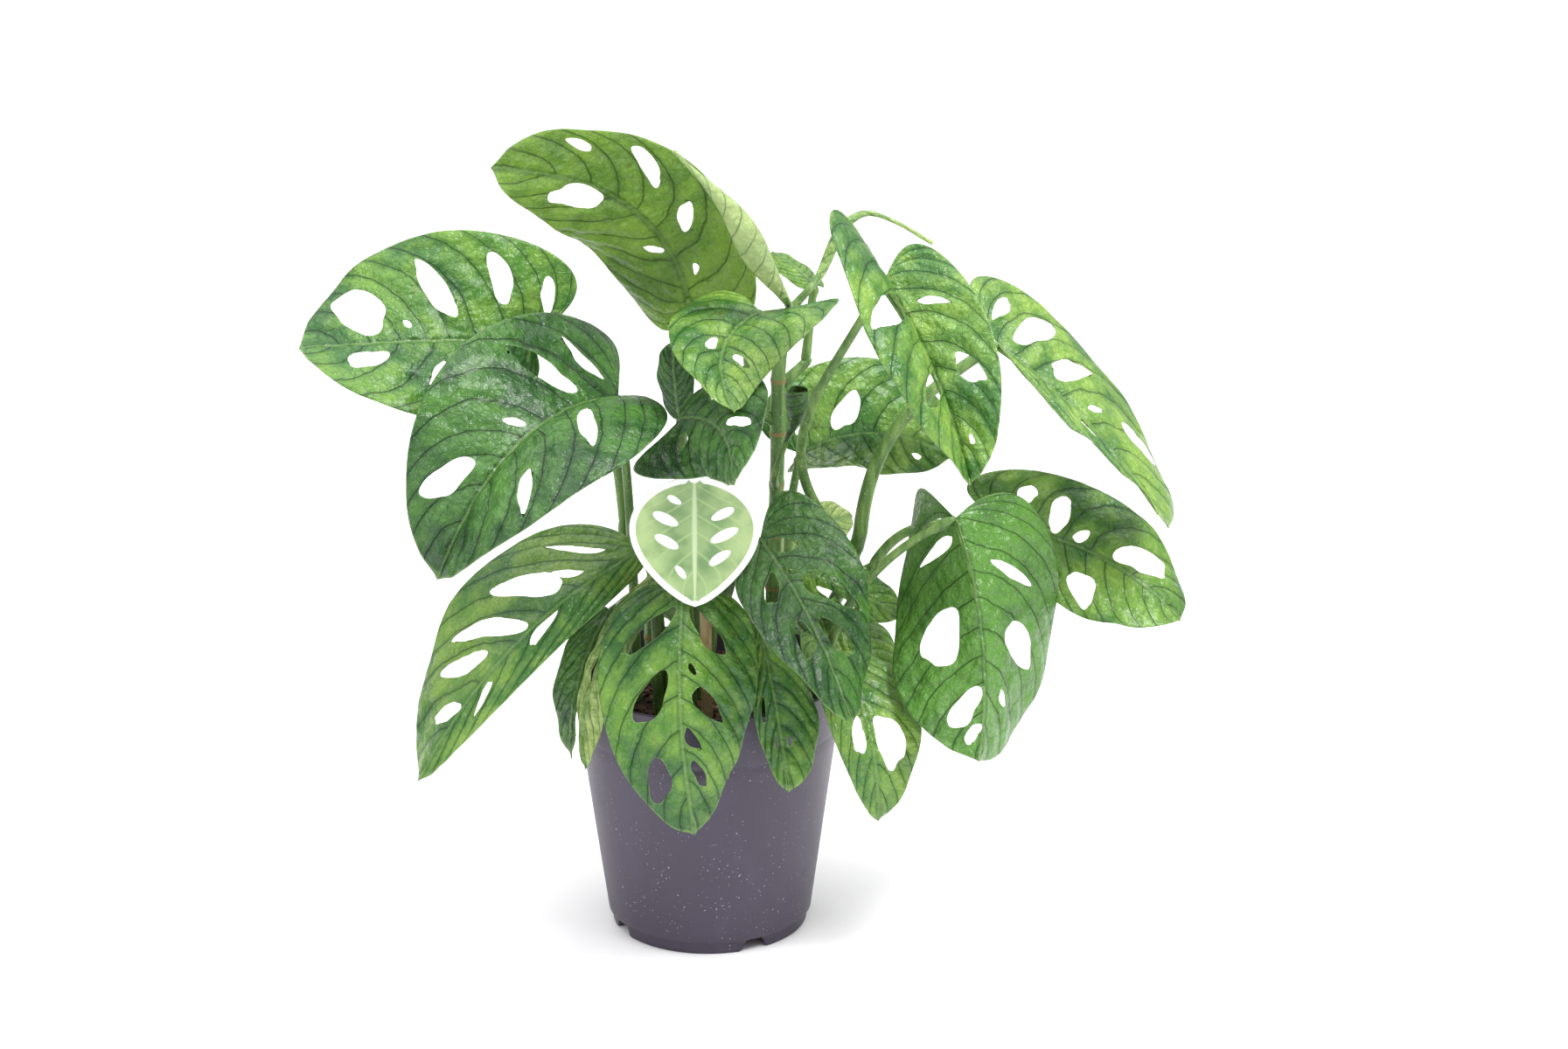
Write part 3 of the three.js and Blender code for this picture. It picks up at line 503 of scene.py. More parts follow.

# Leaves. Each blade runs from base to tip in millimetres with its upper side towards face. arch and
# sway bend the midrib in millimetres and twist turns the blade about it in degrees. width, lobe, fold
# and curl are for the left and right half as seen from the base: half widths in millimetres, shares of
# the length, and degrees. A hole is its place along the midrib, its place across (left is positive),
# its length and its width: shares of the length and, across, of the half width. tone picks one of the
# greens and tint brightens or deepens a blade; both are partly the blade's own green and partly painted
# shade and light, darker for blades that hang in shade. The stalk leaves foot along rise and reaches
# the base along into.
leaves = {
    "crown_left": dict(
        tone="mid", tint=1.3,
        base=(-8, 16, 279), tip=(-86, -38, 347), face=(-0.3, -1, 0.2),
        arch=2, sway=-20, twist=20, width=(30, 36), widest=0.4, lobe=(0.2, 0.25),
        fold=(-5, 12), curl=(-25, 15),
        holes=[(0.66, 0.33, 0.18, 0.56), (0.26, 0.19, 0.04, 0.25), (0.69, -0.74, 0.05, 0.22),
               (0.52, -0.67, 0.06, 0.46), (0.35, -0.45, 0.06, 0.31), (0.15, -0.28, 0.04, 0.1)],
        foot=(-2, 14, 91), rise=(8, 0, 70), into=(-12, 2, 50)),
    "left_upper": dict(
        tone="mid", tint=-0.7,
        base=(-76, 8, 263), tip=(-169, -25, 268), face=(-0.2, -1, 0.75),
        arch=7, sway=2, twist=50, width=(38, 48), widest=0.4, lobe=(0.1, 0.3),
        fold=(15, 0), curl=(-20, 0),
        holes=[(0.69, -0.52, 0.18, 0.7), (0.4, -0.49, 0.09, 0.52), (0.22, -0.63, 0.06, 0.47),
               (0.08, -0.72, 0.08, 0.22), (0.7, 0.4, 0.12, 0.46), (0.43, 0.44, 0.04, 0.31),
               (0.53, -0.18, 0.03, 0.1)],
        foot=(-36, 13, 174), rise=(-4, 0, 50), into=(-30, 0, 22)),
    "left_front": dict(
        tone="dark", tint=-0.5,
        base=(-36, -28, 248), tip=(-107, -95, 190), face=(-0.2, -1, 0.8),
        arch=28, sway=-4, twist=5, width=(48, 48), widest=0.3, lobe=(0, 0.25),
        fold=(40, 10), curl=(-45, 10),
        holes=[(0.68, -0.54, 0.11, 0.53), (0.57, 0.66, 0.05, 0.38), (0.44, -0.18, 0.04, 0.18),
               (0.12, -0.54, 0.06, 0.4), (0.25, -0.45, 0.08, 0.59), (0.31, 0.46, 0.07, 0.45)],
        foot=(-31, -6, 91), rise=(0, -2, 60), into=(-3, -18, 40)),
    "center_dark": dict(
        tone="dark", tint=-0.6,
        base=(-9, -46, 244), tip=(13, -95, 230), face=(-0.21, -1, 0.16),
        arch=1, sway=10, twist=25, width=(30, 27), widest=0.25, lobe=(0.15, 0.4),
        fold=(5, -3), curl=(-54, -24),
        holes=[(0.27, 0.4, 0.12, 0.24), (0.57, 0.49, 0.07, 0.5), (0.2, -0.42, 0.08, 0.27)],
        foot=(-12, -14, 91), rise=(0, -6, 80), into=(2, -16, 26)),
    "center_small": dict(
        tone="dark", tint=-0.4,
        base=(-11, -28, 239), tip=(-13, -25, 271), face=(-0.4, -1, 0.2),
        arch=2, sway=0, twist=15, width=(10, 9), widest=0.42, lobe=(0.1, 0.1),
        fold=(-10, 5), curl=(-30, -10), holes=[],
        foot=(-5, -8, 91), rise=(0, -4, 80), into=(-4, -10, 30)),
    "center_top": dict(
        tone="light", tint=-0.15, base=(23, -22, 283), tip=(13, -80, 256), face=(0.3, -1, 1),
        arch=1, sway=-11, twist=-30, width=(28, 26), widest=0.25, lobe=(0.4, 0.1),
        fold=(10, 15), curl=(-5, -35),
        holes=[(0.22, -0.37, 0.06, 0.15), (0.47, -0.25, 0.1, 0.24), (0.55, 0.42, 0.07, 0.39)],
        foot=(20, 2, 235), rise=(-4, -2, 30), into=(4, -10, 10)),
    "right_top": dict(
        tone="light", tint=-0.4,
        base=(73, -52, 303), tip=(107, -98, 231), face=(0.6, -1, 0.6),
        arch=4, sway=3, twist=20, width=(29, 50), widest=0.3, lobe=(0.15, 0.35),
        fold=(40, 60), curl=(0, -60),
        holes=[(0.28, -0.51, 0.1, 0.78), (0.49, 0.56, 0.1, 0.42), (0.56, -0.4, 0.11, 0.67),
               (0.39, -0.13, 0.04, 0.16), (0.77, 0.49, 0.04, 0.16), (0.22, 0.48, 0.04, 0.36)],
        foot=(58, 5, 174), rise=(-36, -12, 46), into=(23, -14, 48)),
    "right_back": dict(
        tone="light", tint=0,
        base=(124, 12, 260), tip=(196, -22, 188), face=(1.2, -1, 1.1),
        arch=2, sway=7, twist=-30, width=(46, 23), widest=0.4, lobe=(0.3, -0.1),
        fold=(-5, 25), curl=(-20, -5),
        holes=[(0.1, 0.68, 0.06, 0.25), (0.19, 0.57, 0.08, 0.61), (0.31, 0.4, 0.09, 0.47),
               (0.47, -0.4, 0.06, 0.3), (0.45, 0.22, 0.04, 0.16), (0.6, 0.69, 0.11, 0.42)],
        foot=(66, 9, 176), rise=(4, 4, 40), into=(34, 4, 22), thick=3),
    "back_small": dict(
        tone="mid", base=(46, 12, 286), tip=(28, 38, 294), face=(-0.2, -1, 3),
        arch=2, sway=0, twist=-5, width=(8, 10), widest=0.35, lobe=(0.1, 0.1),
        fold=(0, -20), curl=(-15, -35), holes=[],
        foot=(42, 10, 252), rise=(2, 4, 14), into=(2, 4, 12)),
    "center_back": dict(
        tone="light", tint=-0.5,
        base=(40, 22, 208), tip=(106, 28, 204), face=(0, -1, 0.1),
        arch=1, sway=10, twist=-40, width=(34, 27), widest=0.35, lobe=(0.2, 0.2),
        fold=(-10, -25), curl=(-20, -30),
        holes=[(0.33, 0.33, 0.12, 0.47), (0.76, -0.5, 0.06, 0.18), (0.11, 0.44, 0.04, 0.17)],
        foot=(35, 20, 160), rise=(0, 6, 20), into=(4, 4, 20)),
    "right_front": dict(
        tone="dark", tint=1.5,
        base=(105, -32, 196), tip=(114, -80, 105), face=(0.15, -1, 0.6),
        arch=-2, sway=7, twist=-50, width=(50, 50), widest=0.36, lobe=(0.1, 0.25),
        fold=(-35, -45), curl=(-15, -5),
        holes=[(0.1, -0.58, 0.04, 0.34), (0.16, -0.46, 0.05, 0.56), (0.46, -0.44, 0.21, 0.43),
               (0.76, -0.38, 0.11, 0.66), (0.87, -0.37, 0.06, 0.56), (0.48, 0.52, 0.13, 0.4),
               (0.69, 0.42, 0.04, 0.22), (0.26, 0.45, 0.05, 0.38)],
        foot=(46, -10, 91), rise=(2, -4, 54), into=(30, -8, 18)),
    "right_low": dict(
        tone="mid", tint=0.1,
        base=(140, 10, 176), tip=(204, -12, 143), face=(0.4, -1, 0.8),
        arch=4, sway=5, twist=-45, width=(34, 29), widest=0.45, lobe=(0.5, 0.15),
        fold=(-10, 0), curl=(-15, -10),
        holes=[(0.18, 0.7, 0.06, 0.23), (0.22, 0.42, 0.08, 0.55), (0.29, 0.17, 0.07, 0.22),
               (0.61, 0.42, 0.2, 0.67), (0.4, -0.62, 0.15, 0.5)],
        foot=(71, 9, 160), rise=(12, 2, 20), into=(40, 4, -8)),
    "left_low": dict(
        tone="light", tint=-0.3, tipTint=0.8,
        base=(-28, -25, 179), tip=(-120, -75, 94), face=(-0.45, -1, 0.8),
        arch=18, sway=-2, twist=25, width=(14, 50), widest=0.38, lobe=(0.05, 0.05),
        fold=(-15, -20), curl=(-20, 0),
        holes=[(0.14, -0.54, 0.04, 0.44), (0.21, -0.26, 0.04, 0.23), (0.31, -0.42, 0.1, 0.58),
               (0.48, -0.41, 0.08, 0.69), (0.61, -0.43, 0.07, 0.6), (0.77, -0.3, 0.07, 0.5),
               (0.39, 0.25, 0.09, 0.4), (0.64, 0.46, 0.05, 0.49)],
        foot=(-20, -14, 91), rise=(0, -2, 40), into=(-8, -12, 20)),
    "front_center": dict(
        tone="mid", tint=-0.5,
        base=(-9, -50, 172), tip=(-4, -80, 72), face=(0.2, -1, 0.4),
        arch=14, sway=-6, twist=-15, width=(35, 35), widest=0.3, lobe=(0.05, 0.05),
        fold=(-18, -15), curl=(5, -10),
        holes=[(0.18, -0.42, 0.1, 0.59), (0.42, -0.38, 0.12, 0.53), (0.7, -0.61, 0.12, 0.58),
               (0.17, 0.37, 0.12, 0.45), (0.32, 0.16, 0.04, 0.1), (0.45, 0.39, 0.1, 0.41),
               (0.6, 0.19, 0.07, 0.28), (0.73, 0.37, 0.07, 0.44)],
        foot=(-6, -18, 91), rise=(-2, -4, 50), into=(-2, -18, 12)),
    # This blade hangs in shade beside the pot: its dark tone is partly painted shade.
    "left_shadow": dict(
        tone="dark", base=(-42, -18, 150), tip=(-58, -34, 88), face=(-0.7, -1, 0.2),
        arch=13, sway=2, twist=15, width=(4, 12), widest=0.38, lobe=(0.1, 0.05),
        fold=(0, -5), curl=(5, 5), holes=[],
        foot=(-36, -8, 91), rise=(0, -2, 30), into=(-2, -8, 16)),
    "left_edge": dict(
        tone="pale", base=(-23, -38, 170), tip=(-51, -56, 92), face=(-0.8, -1, 0.4),
        arch=5, sway=-9, twist=-5, width=(16, 7), widest=0.34, lobe=(0.1, 0.1),
        fold=(5, -10), curl=(10, -20),
        holes=[(0.51, -0.12, 0.12, 0.14), (0.5, 0.22, 0.09, 0.24), (0.24, -0.12, 0.05, 0.14)],
        foot=(-21, -24, 91), rise=(0, -4, 40), into=(-2, -8, 26)),
    "center_right": dict(
        tone="dark", tint=-0.5,
        base=(23, -38, 189), tip=(61, -88, 125), face=(0.5, -1, 0.65),
        arch=10, sway=-1, twist=-50, width=(35, 25), widest=0.35, lobe=(0.25, 0),
        fold=(-10, 10), curl=(-10, -10),
        holes=[(0.11, 0.24, 0.09, 0.38), (0.24, 0.12, 0.04, 0.14), (0.38, 0.47, 0.12, 0.68),
               (0.28, -0.38, 0.12, 0.36), (0.56, -0.36, 0.14, 0.52), (0.59, 0.37, 0.13, 0.58)],
        foot=(14, -18, 91), rise=(0, -2, 60), into=(4, -10, 34)),
    "rim_right": dict(
        tone="mid", tint=-0.4,
        base=(22, -40, 153), tip=(35, -72, 88), face=(0.25, -1, 0.35),
        arch=5, sway=0, twist=35, width=(20, 10), widest=0.4, lobe=(0.1, 0),
        fold=(-12, 5), curl=(-20, -15),
        holes=[(0.48, -0.59, 0.09, 0.27), (0.69, -0.34, 0.06, 0.16), (0.7, 0.25, 0.05, 0.15)],
        foot=(24, -20, 91), rise=(0, -2, 26), into=(0, -8, 18)),
    "pot_right": dict(
        tone="light", tint=-0.1,
        base=(56, -28, 135), tip=(73, -58, 69), face=(0.15, -1, 0.45),
        arch=14, sway=3, twist=25, width=(27, 18), widest=0.27, lobe=(0.05, 0.2),
        fold=(-20, 10), curl=(5, -5),
        holes=[(0.5, -0.36, 0.15, 0.45), (0.55, 0.42, 0.26, 0.67)],
        foot=(42, -26, 91), rise=(0, 0, 26), into=(4, -12, 10)),
    "right_mid": dict(
        tone="mid", base=(35, 2, 162), tip=(84, -6, 142), face=(0.1, -1, 0.7),
        arch=6, sway=1, twist=35, width=(18, 16), widest=0.3, lobe=(0.1, 0.1),
        fold=(-20, -20), curl=(-30, -25),
        holes=[(0.35, -0.35, 0.12, 0.25), (0.51, -0.5, 0.12, 0.31)],
        foot=(34, 6, 91), rise=(0, 0, 34), into=(-2, -8, 20)),
    "right_under": dict(
        tone="light", base=(49, 0, 141), tip=(83, -12, 109), face=(0.4, -1, 0.75),
        arch=5, sway=3, twist=15, width=(17, 12), widest=0.35, lobe=(0.1, 0.1),
        fold=(-15, -5), curl=(-20, -20), holes=[],
        foot=(41, -2, 91), rise=(0, 0, 24), into=(0, -8, 18)),
    "back_low": dict(
        tone="pale", base=(36, 45, 152), tip=(64, 75, 162), face=(0.35, -1, 1),
        arch=4, sway=3, twist=10, width=(12, 12), widest=0.4, lobe=(0.1, 0.05),
        fold=(10, -10), curl=(-10, -20), holes=[],
        foot=(24, 34, 91), rise=(0, 4, 30), into=(8, 6, 18)),
    "rear_left": dict(
        tone="mid", base=(-12, 42, 150), tip=(-34, 96, 66), face=(-0.3, 1, 0.5),
        arch=12, sway=3, twist=10, width=(34, 32), widest=0.34, lobe=(0.15, 0.15),
        fold=(-15, -15), curl=(-15, -20),
        holes=[(0.26, 0.46, 0.09, 0.5), (0.47, 0.45, 0.09, 0.5), (0.67, 0.43, 0.07, 0.46),
               (0.32, -0.44, 0.09, 0.48), (0.57, -0.44, 0.09, 0.48)],
        foot=(-12, 26, 91), rise=(0, 2, 34), into=(0, 14, 14)),
    "rear_right": dict(
        tone="dark", base=(30, 50, 128), tip=(52, 92, 56), face=(0.4, 1, 0.45),
        arch=10, sway=-3, twist=-10, width=(26, 27), widest=0.36, lobe=(0.15, 0.1),
        fold=(-20, -10), curl=(-15, -15),
        holes=[(0.3, 0.45, 0.09, 0.5), (0.55, 0.42, 0.09, 0.5), (0.4, -0.45, 0.11, 0.5)],
        foot=(22, 44, 91), rise=(0, 2, 24), into=(4, 8, 10)),
}
blade = {
    "rows": 120, "columns": 96, "thickness": 0.34, "tipSweep": 0.14, "veinSpacing": 0.13, "slant": 0.3,
    "groove": 0.6, "quilt": 0.8, "wave": 0.9, "wrinkle": 0.6, "ridge": 1.15, "holeTaper": 0.28,
    "tipStart": 0.86, "tipNarrowing": 0.85, "ripples": [(2, 0.1), (3, 0.09), (5, 0.04)],
    "leastCurl": 0.1, "step": 0.4,
}
# Four copies of one leaf skin from dark to pale: partly the leaves' own greens and partly painted shade and
# light, the darker copies for blades in shade.
greens = {
    "dark": {
        "deep": tone(0x173919), "body": tone(0x2c5b23), "fresh": tone(0x568733), "under": tone(0x628248),
    },
    "mid": {
        "deep": tone(0x1f4b1d), "body": tone(0x397128), "fresh": tone(0x7fa63c), "under": tone(0x739452),
    },
    "light": {
        "deep": tone(0x2a5b24), "body": tone(0x4a7f31), "fresh": tone(0x8eaf49), "under": tone(0x85a562),
    },
    "pale": {
        "deep": tone(0x588342), "body": tone(0x82a556), "fresh": tone(0xadc070), "under": tone(0xa3b680),
    },
    "rim": tone(0x7d9e5a), "vein": tone(0x789d50),
}


# Leaf skin. Midrib and lateral veins are dark lines, and the skin between them is mottled with
# fresher green, more so far from the veins. The skin is also darker close to each vein and in a band
# along both sides of the midrib: painted shade in the grooves there. The pattern map holds the
# distance from the midrib in centimetres and a count that is whole at each lateral vein; rim is the
# distance to the nearest free edge in millimetres.
def makeLeafSkin(name, colours, under):
    finish = Finish("leaf_" + name + ("_underside" if under else ""))
    aside = abs(finish.pattern("X")) * 10
    count = finish.pattern("Y")
    waver = (finish.noise(90, 3) - 0.5) * 0.3
    offVein = abs((count + waver + 0.5).fraction() - 0.5)
    midrib = aside.fade(0.3, 0.9)
    lateral = offVein.fade(0.004, 0.035) * aside.rise(0.5, 2.0)
    # between is 0 at a vein and 1 well clear of it; the darkening where it is low is painted shade in the
    # vein grooves.
    between = offVein.rise(0.02, 0.26)
    patches = finish.noise(30, 2).rise(0.36, 0.62)
    blotches = finish.noise(110, 5).rise(0.3, 0.72)
    flecks = finish.noise(480, 4).rise(0.42, 0.68)
    threads = finish.cells(300).fade(0.0, 0.07)
    mottle = blotches * (0.2 + between * 0.3) + flecks * 0.14 + patches * 0.42 + finish.field("tint") * 0.3
    deep = colours["deep"]
    # Darker green near the veins and in the band beside the midrib is painted shade in their grooves.
    colour = finish.layers(
        colours["body"], ((1 - between) * 0.28 + (1 - patches) * 0.5, deep),
        (mottle - 0.08, colours["fresh"]), (threads * 0.14, deep),
        (lateral * 0.32, greens["vein"] if under else deep), (aside.fade(0.9, 2.4) * 0.45, deep),
        (midrib * 0.45, greens["vein"]))
    if under:
        colour = finish.mix(0.55, colour, colours["under"])
    colour = finish.mix(finish.field("rim").fade(0.15, 0.5) * 0.4, colour, greens["rim"])
    pucker = finish.noise(130, 2) * 2.2 + finish.noise(300, 2) * 0.7
    relief = pucker + finish.noise(900, 2) * 0.15 - lateral * 0.7 - threads * 0.08
    skin = finish.node("BsdfPrincipled", None, {
        "Base Color": colour,
        "Roughness": (0.5 if under else 0.27) + flecks * 0.07 + blotches * 0.07,
        "IOR": 1.45,
        "Coat Weight": 0.0 if under else 0.2,
        "Coat Roughness": 0.2,
        "Normal": finish.bump(relief, 0.0018),
    })
    glow = finish.node("BsdfTranslucent", None, {"Color": colours["fresh"]})
    both = finish.node("MixShader", None, {0: 0.14, 1: skin, 2: glow})
    finish.node("OutputMaterial", None, {"Surface": both})
    return finish.material


# The blade's own directions: along it, across it to the left, and up out of its upper side.
def bladeFrame(leaf):
    base, tip, face = (np.array(leaf[key], float) for key in ("base", "tip", "face"))
    along = unit(tip - base)
    up = unit(face - along * (face @ along))
    return base, along, np.cross(up, along), up, np.linalg.norm(tip - base)


# Flattened place of a point at t along and s across: the half width is a skewed sine of t, and the
# margin sweeps towards the tip by a curve that peaks at 1 and back past the base by another. The
# last stretch narrows to a drip tip.
def flatPlace(leaf, length, t, s):
    left = s >= 0
    power = math.log(0.5) / math.log(leaf["widest"])
    width = np.where(left, *leaf["width"])
    lobe = np.where(left, *leaf["lobe"])
    reach = width * np.maximum(np.sin(np.pi * t**power), 0) ** (0.75 + 0.4 * t)
    point = np.clip((t - blade["tipStart"]) / (1 - blade["tipStart"]), 0, 1)
    reach = reach * (1 - blade["tipNarrowing"] * point * point * (3 - 2 * point))
    forward = blade["tipSweep"] * 6.75 * t * t * (1 - t) - lobe * 4.8 * np.sqrt(t) * (1 - t) ** 4
    return length * (t + np.abs(s) ** 1.5 * forward), s * reach


# Place in space: the midrib is a parabola of height arch and sway, the halves turn about it by twist,
# and each half is an arc that leaves the midrib at fold and turns by curl, which is never quite 0.
def bladePoints(leaf, x, y):
    base, along, across, up, length = bladeFrame(leaf)
    t = (x / length)[..., None]
    bow = np.where(t < 0, 4 * t, 4 * t * (1 - t))
    slope = np.where(t < 0, 4, 4 - 8 * t) / length
    centre = base + along * x[..., None] + up * leaf["arch"] * bow + across * leaf["sway"] * bow
    ahead = unit(along + up * leaf["arch"] * slope + across * leaf["sway"] * slope)
    side = unit(across - ahead * np.sum(ahead * across, axis=-1, keepdims=True))
    turn = np.radians(leaf["twist"]) * (np.clip(t, -0.3, 1) - 0.5)
    side = side * np.cos(turn) + np.cross(ahead, side) * np.sin(turn)
    lift = np.cross(ahead, side)
    left = y >= 0
    fold = np.radians(np.where(left, *leaf["fold"]))
    curl = np.radians(np.where(left, *[angle or blade["leastCurl"] for angle in leaf["curl"]]))
    reach = np.where(left, *leaf["width"])
    end = fold + curl * np.abs(y) / reach
    out = (np.sin(end) - np.sin(fold)) * reach / curl * np.where(left, 1, -1)
    rise = (np.cos(fold) - np.cos(end)) * reach / curl
    return centre + side * out[..., None] + lift * rise[..., None]


# Where along the midrib the side vein through a point starts. Side veins lean towards the tip, more
# so near the margin.
def veinRoot(t, s):
    lean = blade["slant"] * (0.7 * np.abs(s) + 0.5 * s * s)
    return (t - lean) / (1 - lean)


# A count that is half way between whole numbers at each hole, so that veins pass between the holes.
def veinCount(leaf, root, side):
    spacing = blade["veinSpacing"]
    centres = []
    for here in sorted(veinRoot(hole[0], hole[1]) for hole in leaf["holes"] if hole[1] * side > 0):
        if not centres or here - centres[-1] > 0.55 * spacing:
            centres.append(here)
    centres = centres or [0.5 * spacing]
    counts = [0.5]
    for here, after in zip(centres, centres[1:]):
        counts.append(counts[-1] + max(1, round((after - here) / spacing)))
    ends = [centres[0] - 10 * spacing, centres[-1] + 10 * spacing]
    return np.interp(root, [ends[0], *centres, ends[1]], [counts[0] - 10, *counts, counts[-1] + 10])


# The blade's grid, with its holes opened. Each hole is an oval that leans with the side veins,
# narrows towards the margin and has a slightly uneven edge. Gives t, s, the distance to the nearest
# edge and the points inside holes.
def openBlade(leaf, length, chance):
    even = np.linspace(0, 1, blade["rows"])
    along = 0.55 * even + 0.45 * (0.5 - 0.5 * np.cos(np.pi * even))
    half = np.linspace(0, 1, blade["columns"] // 2 + 1)
    half = 0.75 * half + 0.25 * half**2
    t, s = np.meshgrid(along, np.concatenate([-half[:0:-1], half]), indexing="ij")
    gone = np.zeros(t.shape, bool)
    margin = flatPlace(leaf, length, t, np.where(s >= 0, 1.0, -1.0))[1]
    rim = np.abs(margin - flatPlace(leaf, length, t, s)[1])
    for place, across, long, wide in leaf["holes"]:
        side = 1 if across > 0 else -1
        shear = blade["slant"] * (1 - place) * wide / 2
        v = (s - across) * side / (wide / 2)
        taper = np.clip(1 - blade["holeTaper"] * v, 0.4, 1.5)
        u = (t - place - shear * v) / (long / 2) / taper
        turn = np.arctan2(v, u)
        ripples = zip(blade["ripples"], chance.uniform(0, 6.28, len(blade["ripples"])))
        edge = 1 + sum(size * np.sin(count * turn + phase) for (count, size), phase in ripples)
        inside, u2, v2 = openHole(u, v, edge)
        s = np.where(inside, across + side * v2 * wide / 2, s)
        t = np.where(inside, place + shear * v2 + u2 * (1 - blade["holeTaper"] * v2) * long / 2, t)
        gone |= inside
        span = 0.5 * (long * length + wide * leaf["width"][0 if side > 0 else 1]) / 2
        rim = np.minimum(rim, np.maximum(np.hypot(u2, v2) - edge, 0) * span)
    return t, s, rim, gone


# Height of the upper side over the smooth blade: a groove along the midrib and each lateral vein,
# a swelling between veins broken up by wrinkles, and a margin that waves.
def bladeRelief(t, s, x, y, count, chance):
    offVein = np.abs(count - np.round(count))
    fade = 1 - t**3
    inner = np.sin(np.pi * np.abs(s)) ** 0.6
    midrib = blade["groove"] * np.exp(-((y / 1.4) ** 2)) * fade
    swell = blade["quilt"] * (1 - np.cos(2 * np.pi * offVein)) / 2 * inner
    lateral = 0.3 * blade["groove"] * np.exp(-((offVein / 0.06) ** 2)) * (1 - np.abs(s)) ** 0.5
    phase = chance.uniform(0, 6.28)
    seed = int(chance.integers(1000))
    wrinkle = softNoise(x, y, 7, seed) - 0.5 + 0.6 * (softNoise(x, y, 3.2, seed + 1) - 0.5)
    wave = blade["wave"] * np.abs(s) ** 3 * np.sin(2 * np.pi * 0.3 * count + phase + 2 * s)
    relief = swell - midrib - lateral + wave + blade["wrinkle"] * 2 * wrinkle * (0.4 + 0.6 * inner)
    return relief * np.sin(np.pi * np.clip(t, 0, 1)) ** 0.4


# The direction out of the upper side, from how the blade runs a small step each way.
def bladeNormal(leaf, x, y):
    step = blade["step"]
    ahead = bladePoints(leaf, x + step, y) - bladePoints(leaf, x - step, y)
    beside = bladePoints(leaf, x, y + step) - bladePoints(leaf, x, y - step)
    return unit(np.cross(ahead, beside))


# One blade: the opened grid laid in space, raised by the relief along its own normal.
def makeBlade(name, leaf, skins):
    chance = np.random.default_rng(len(name) * 31 + ord(name[0]) * 7 + ord(name[-1]))
    length = bladeFrame(leaf)[-1]
    t, s, rim, gone = openBlade(leaf, length, chance)
    x, y = flatPlace(leaf, length, t, s)
    counts = [veinCount(leaf, veinRoot(t, s), side) for side in (1, -1)]
    count = np.where(s >= 0, *counts)
    relief = bladeRelief(t, s, x, y, count, chance) * min(1, length / 60)
    raised = bladeNormal(leaf, x, y) * (relief + blade["thickness"] / 2)[..., None]
    points = bladePoints(leaf, x, y) + raised
    faces = gridFaces(*t.shape)
    faces = faces[~gone.ravel()[faces].all(axis=1)]
    left = s.ravel()[faces].mean(axis=1) > 0
    laid = np.where(left[:, None], counts[0].ravel()[faces], counts[1].ravel()[faces])
    pattern = np.stack([y.ravel()[faces] / 10, laid], axis=-1)
    bright = leaf.get("tint", chance.uniform(-0.2, 0.2))
    fields = {"rim": rim, "tint": bright + leaf.get("tipTint", 0) * np.clip(4 * t - 3, 0, 1) + 0 * t}
    piece = makePiece("blade_" + name, points, faces, skins, "leaf_" + name,
                      pattern, fields)
    solidify(piece, blade["thickness"], -1, under=1)


# The nearest point of any stem that is a little lower than a place above the soil.
def stemBelow(place):
    paths = [throughPoints(points, growth["stemRings"]) for points in stems.values()]
    spots = np.concatenate([path[path[:, 2] < place[2] - growth["fork"]] for path in paths])
    return spots[np.argmin(np.linalg.norm(spots - place, axis=1))]


# Path of a stalk: a cubic curve from foot to just before the base, and on to the base. One that
# starts above the soil first leaves its stem. Gives the direction that its rings start from, too.
def stalkPath(leaf):
    base, foot, rise, into = (np.array(leaf[key], float) for key in ("base", "foot", "rise", "into"))
    end = base - 5 * unit(into)
    t = np.linspace(0, 1, 24)[:, None]
    path = (1 - t) ** 3 * foot + 3 * (1 - t) ** 2 * t * (foot + rise)
    path = path + 3 * (1 - t) * t**2 * (end - into) + t**3 * end
    if foot[2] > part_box("soil")[1].z / mm:
        path = np.concatenate([[stemBelow(foot)], path])
    upward = unit(np.cross(np.cross(end - foot, rise + 0.001), end - foot) + 0.01)
    return throughPoints(np.concatenate([path, [base]]), growth["stalkRings"]), upward


# The rib that runs on from the stalk under the midrib and thins out towards the tip.
def ribShape(leaf):
    across, up, length = bladeFrame(leaf)[2:]
    t = np.linspace(0.0, 0.93, growth["ribRings"])
    x = t * length
    step = blade["step"]
    ahead = bladePoints(leaf, x + step, 0 * x) - bladePoints(leaf, x - step, 0 * x)
    radii = blade["ridge"] * min(1, length / 70) * (1 - 0.85 * t)
    under = blade["groove"] + blade["thickness"] + 0.8 * radii
    path = bladePoints(leaf, x, 0 * x) - unit(np.cross(ahead, across)) * under[:, None]
    return sweep(path, radii, growth["stalkSides"], up)


# A stalk thins upwards, swells just before the blade and is corky just above the soil. Its rib is
# part of the same piece.
def makeStalk(name, leaf, skin):
    path, upward = stalkPath(leaf)
    place = pathLength(path) / pathLength(path)[-1]
    size = leaf.get("thick", growth["stalkRadius"])
    radii = size * (1.12 - 0.35 * place + 0.3 * np.exp(-((place - 0.95) / 0.03) ** 2))
    radii *= np.interp(place, [0.965, 1], [1, 0.6])
    points, faces = sweep(path, radii, growth["stalkSides"], upward)
    ribPoints, ribFaces = ribShape(leaf)
    scar = np.clip(1 - (points[..., 2] - growth["scarTop"]) / 12, 0, 1) * 0.5
    scar = np.concatenate([scar.ravel(), np.zeros(ribPoints[..., 0].size)])
    faces = np.concatenate([faces, ribFaces + points[..., 0].size])
    points = np.concatenate([points.reshape(-1, 3), ribPoints.reshape(-1, 3)])
    makePiece("stalk_" + name + "_grown", points, faces, [skin], "stalk_" + name,
              fields={"scar": scar})


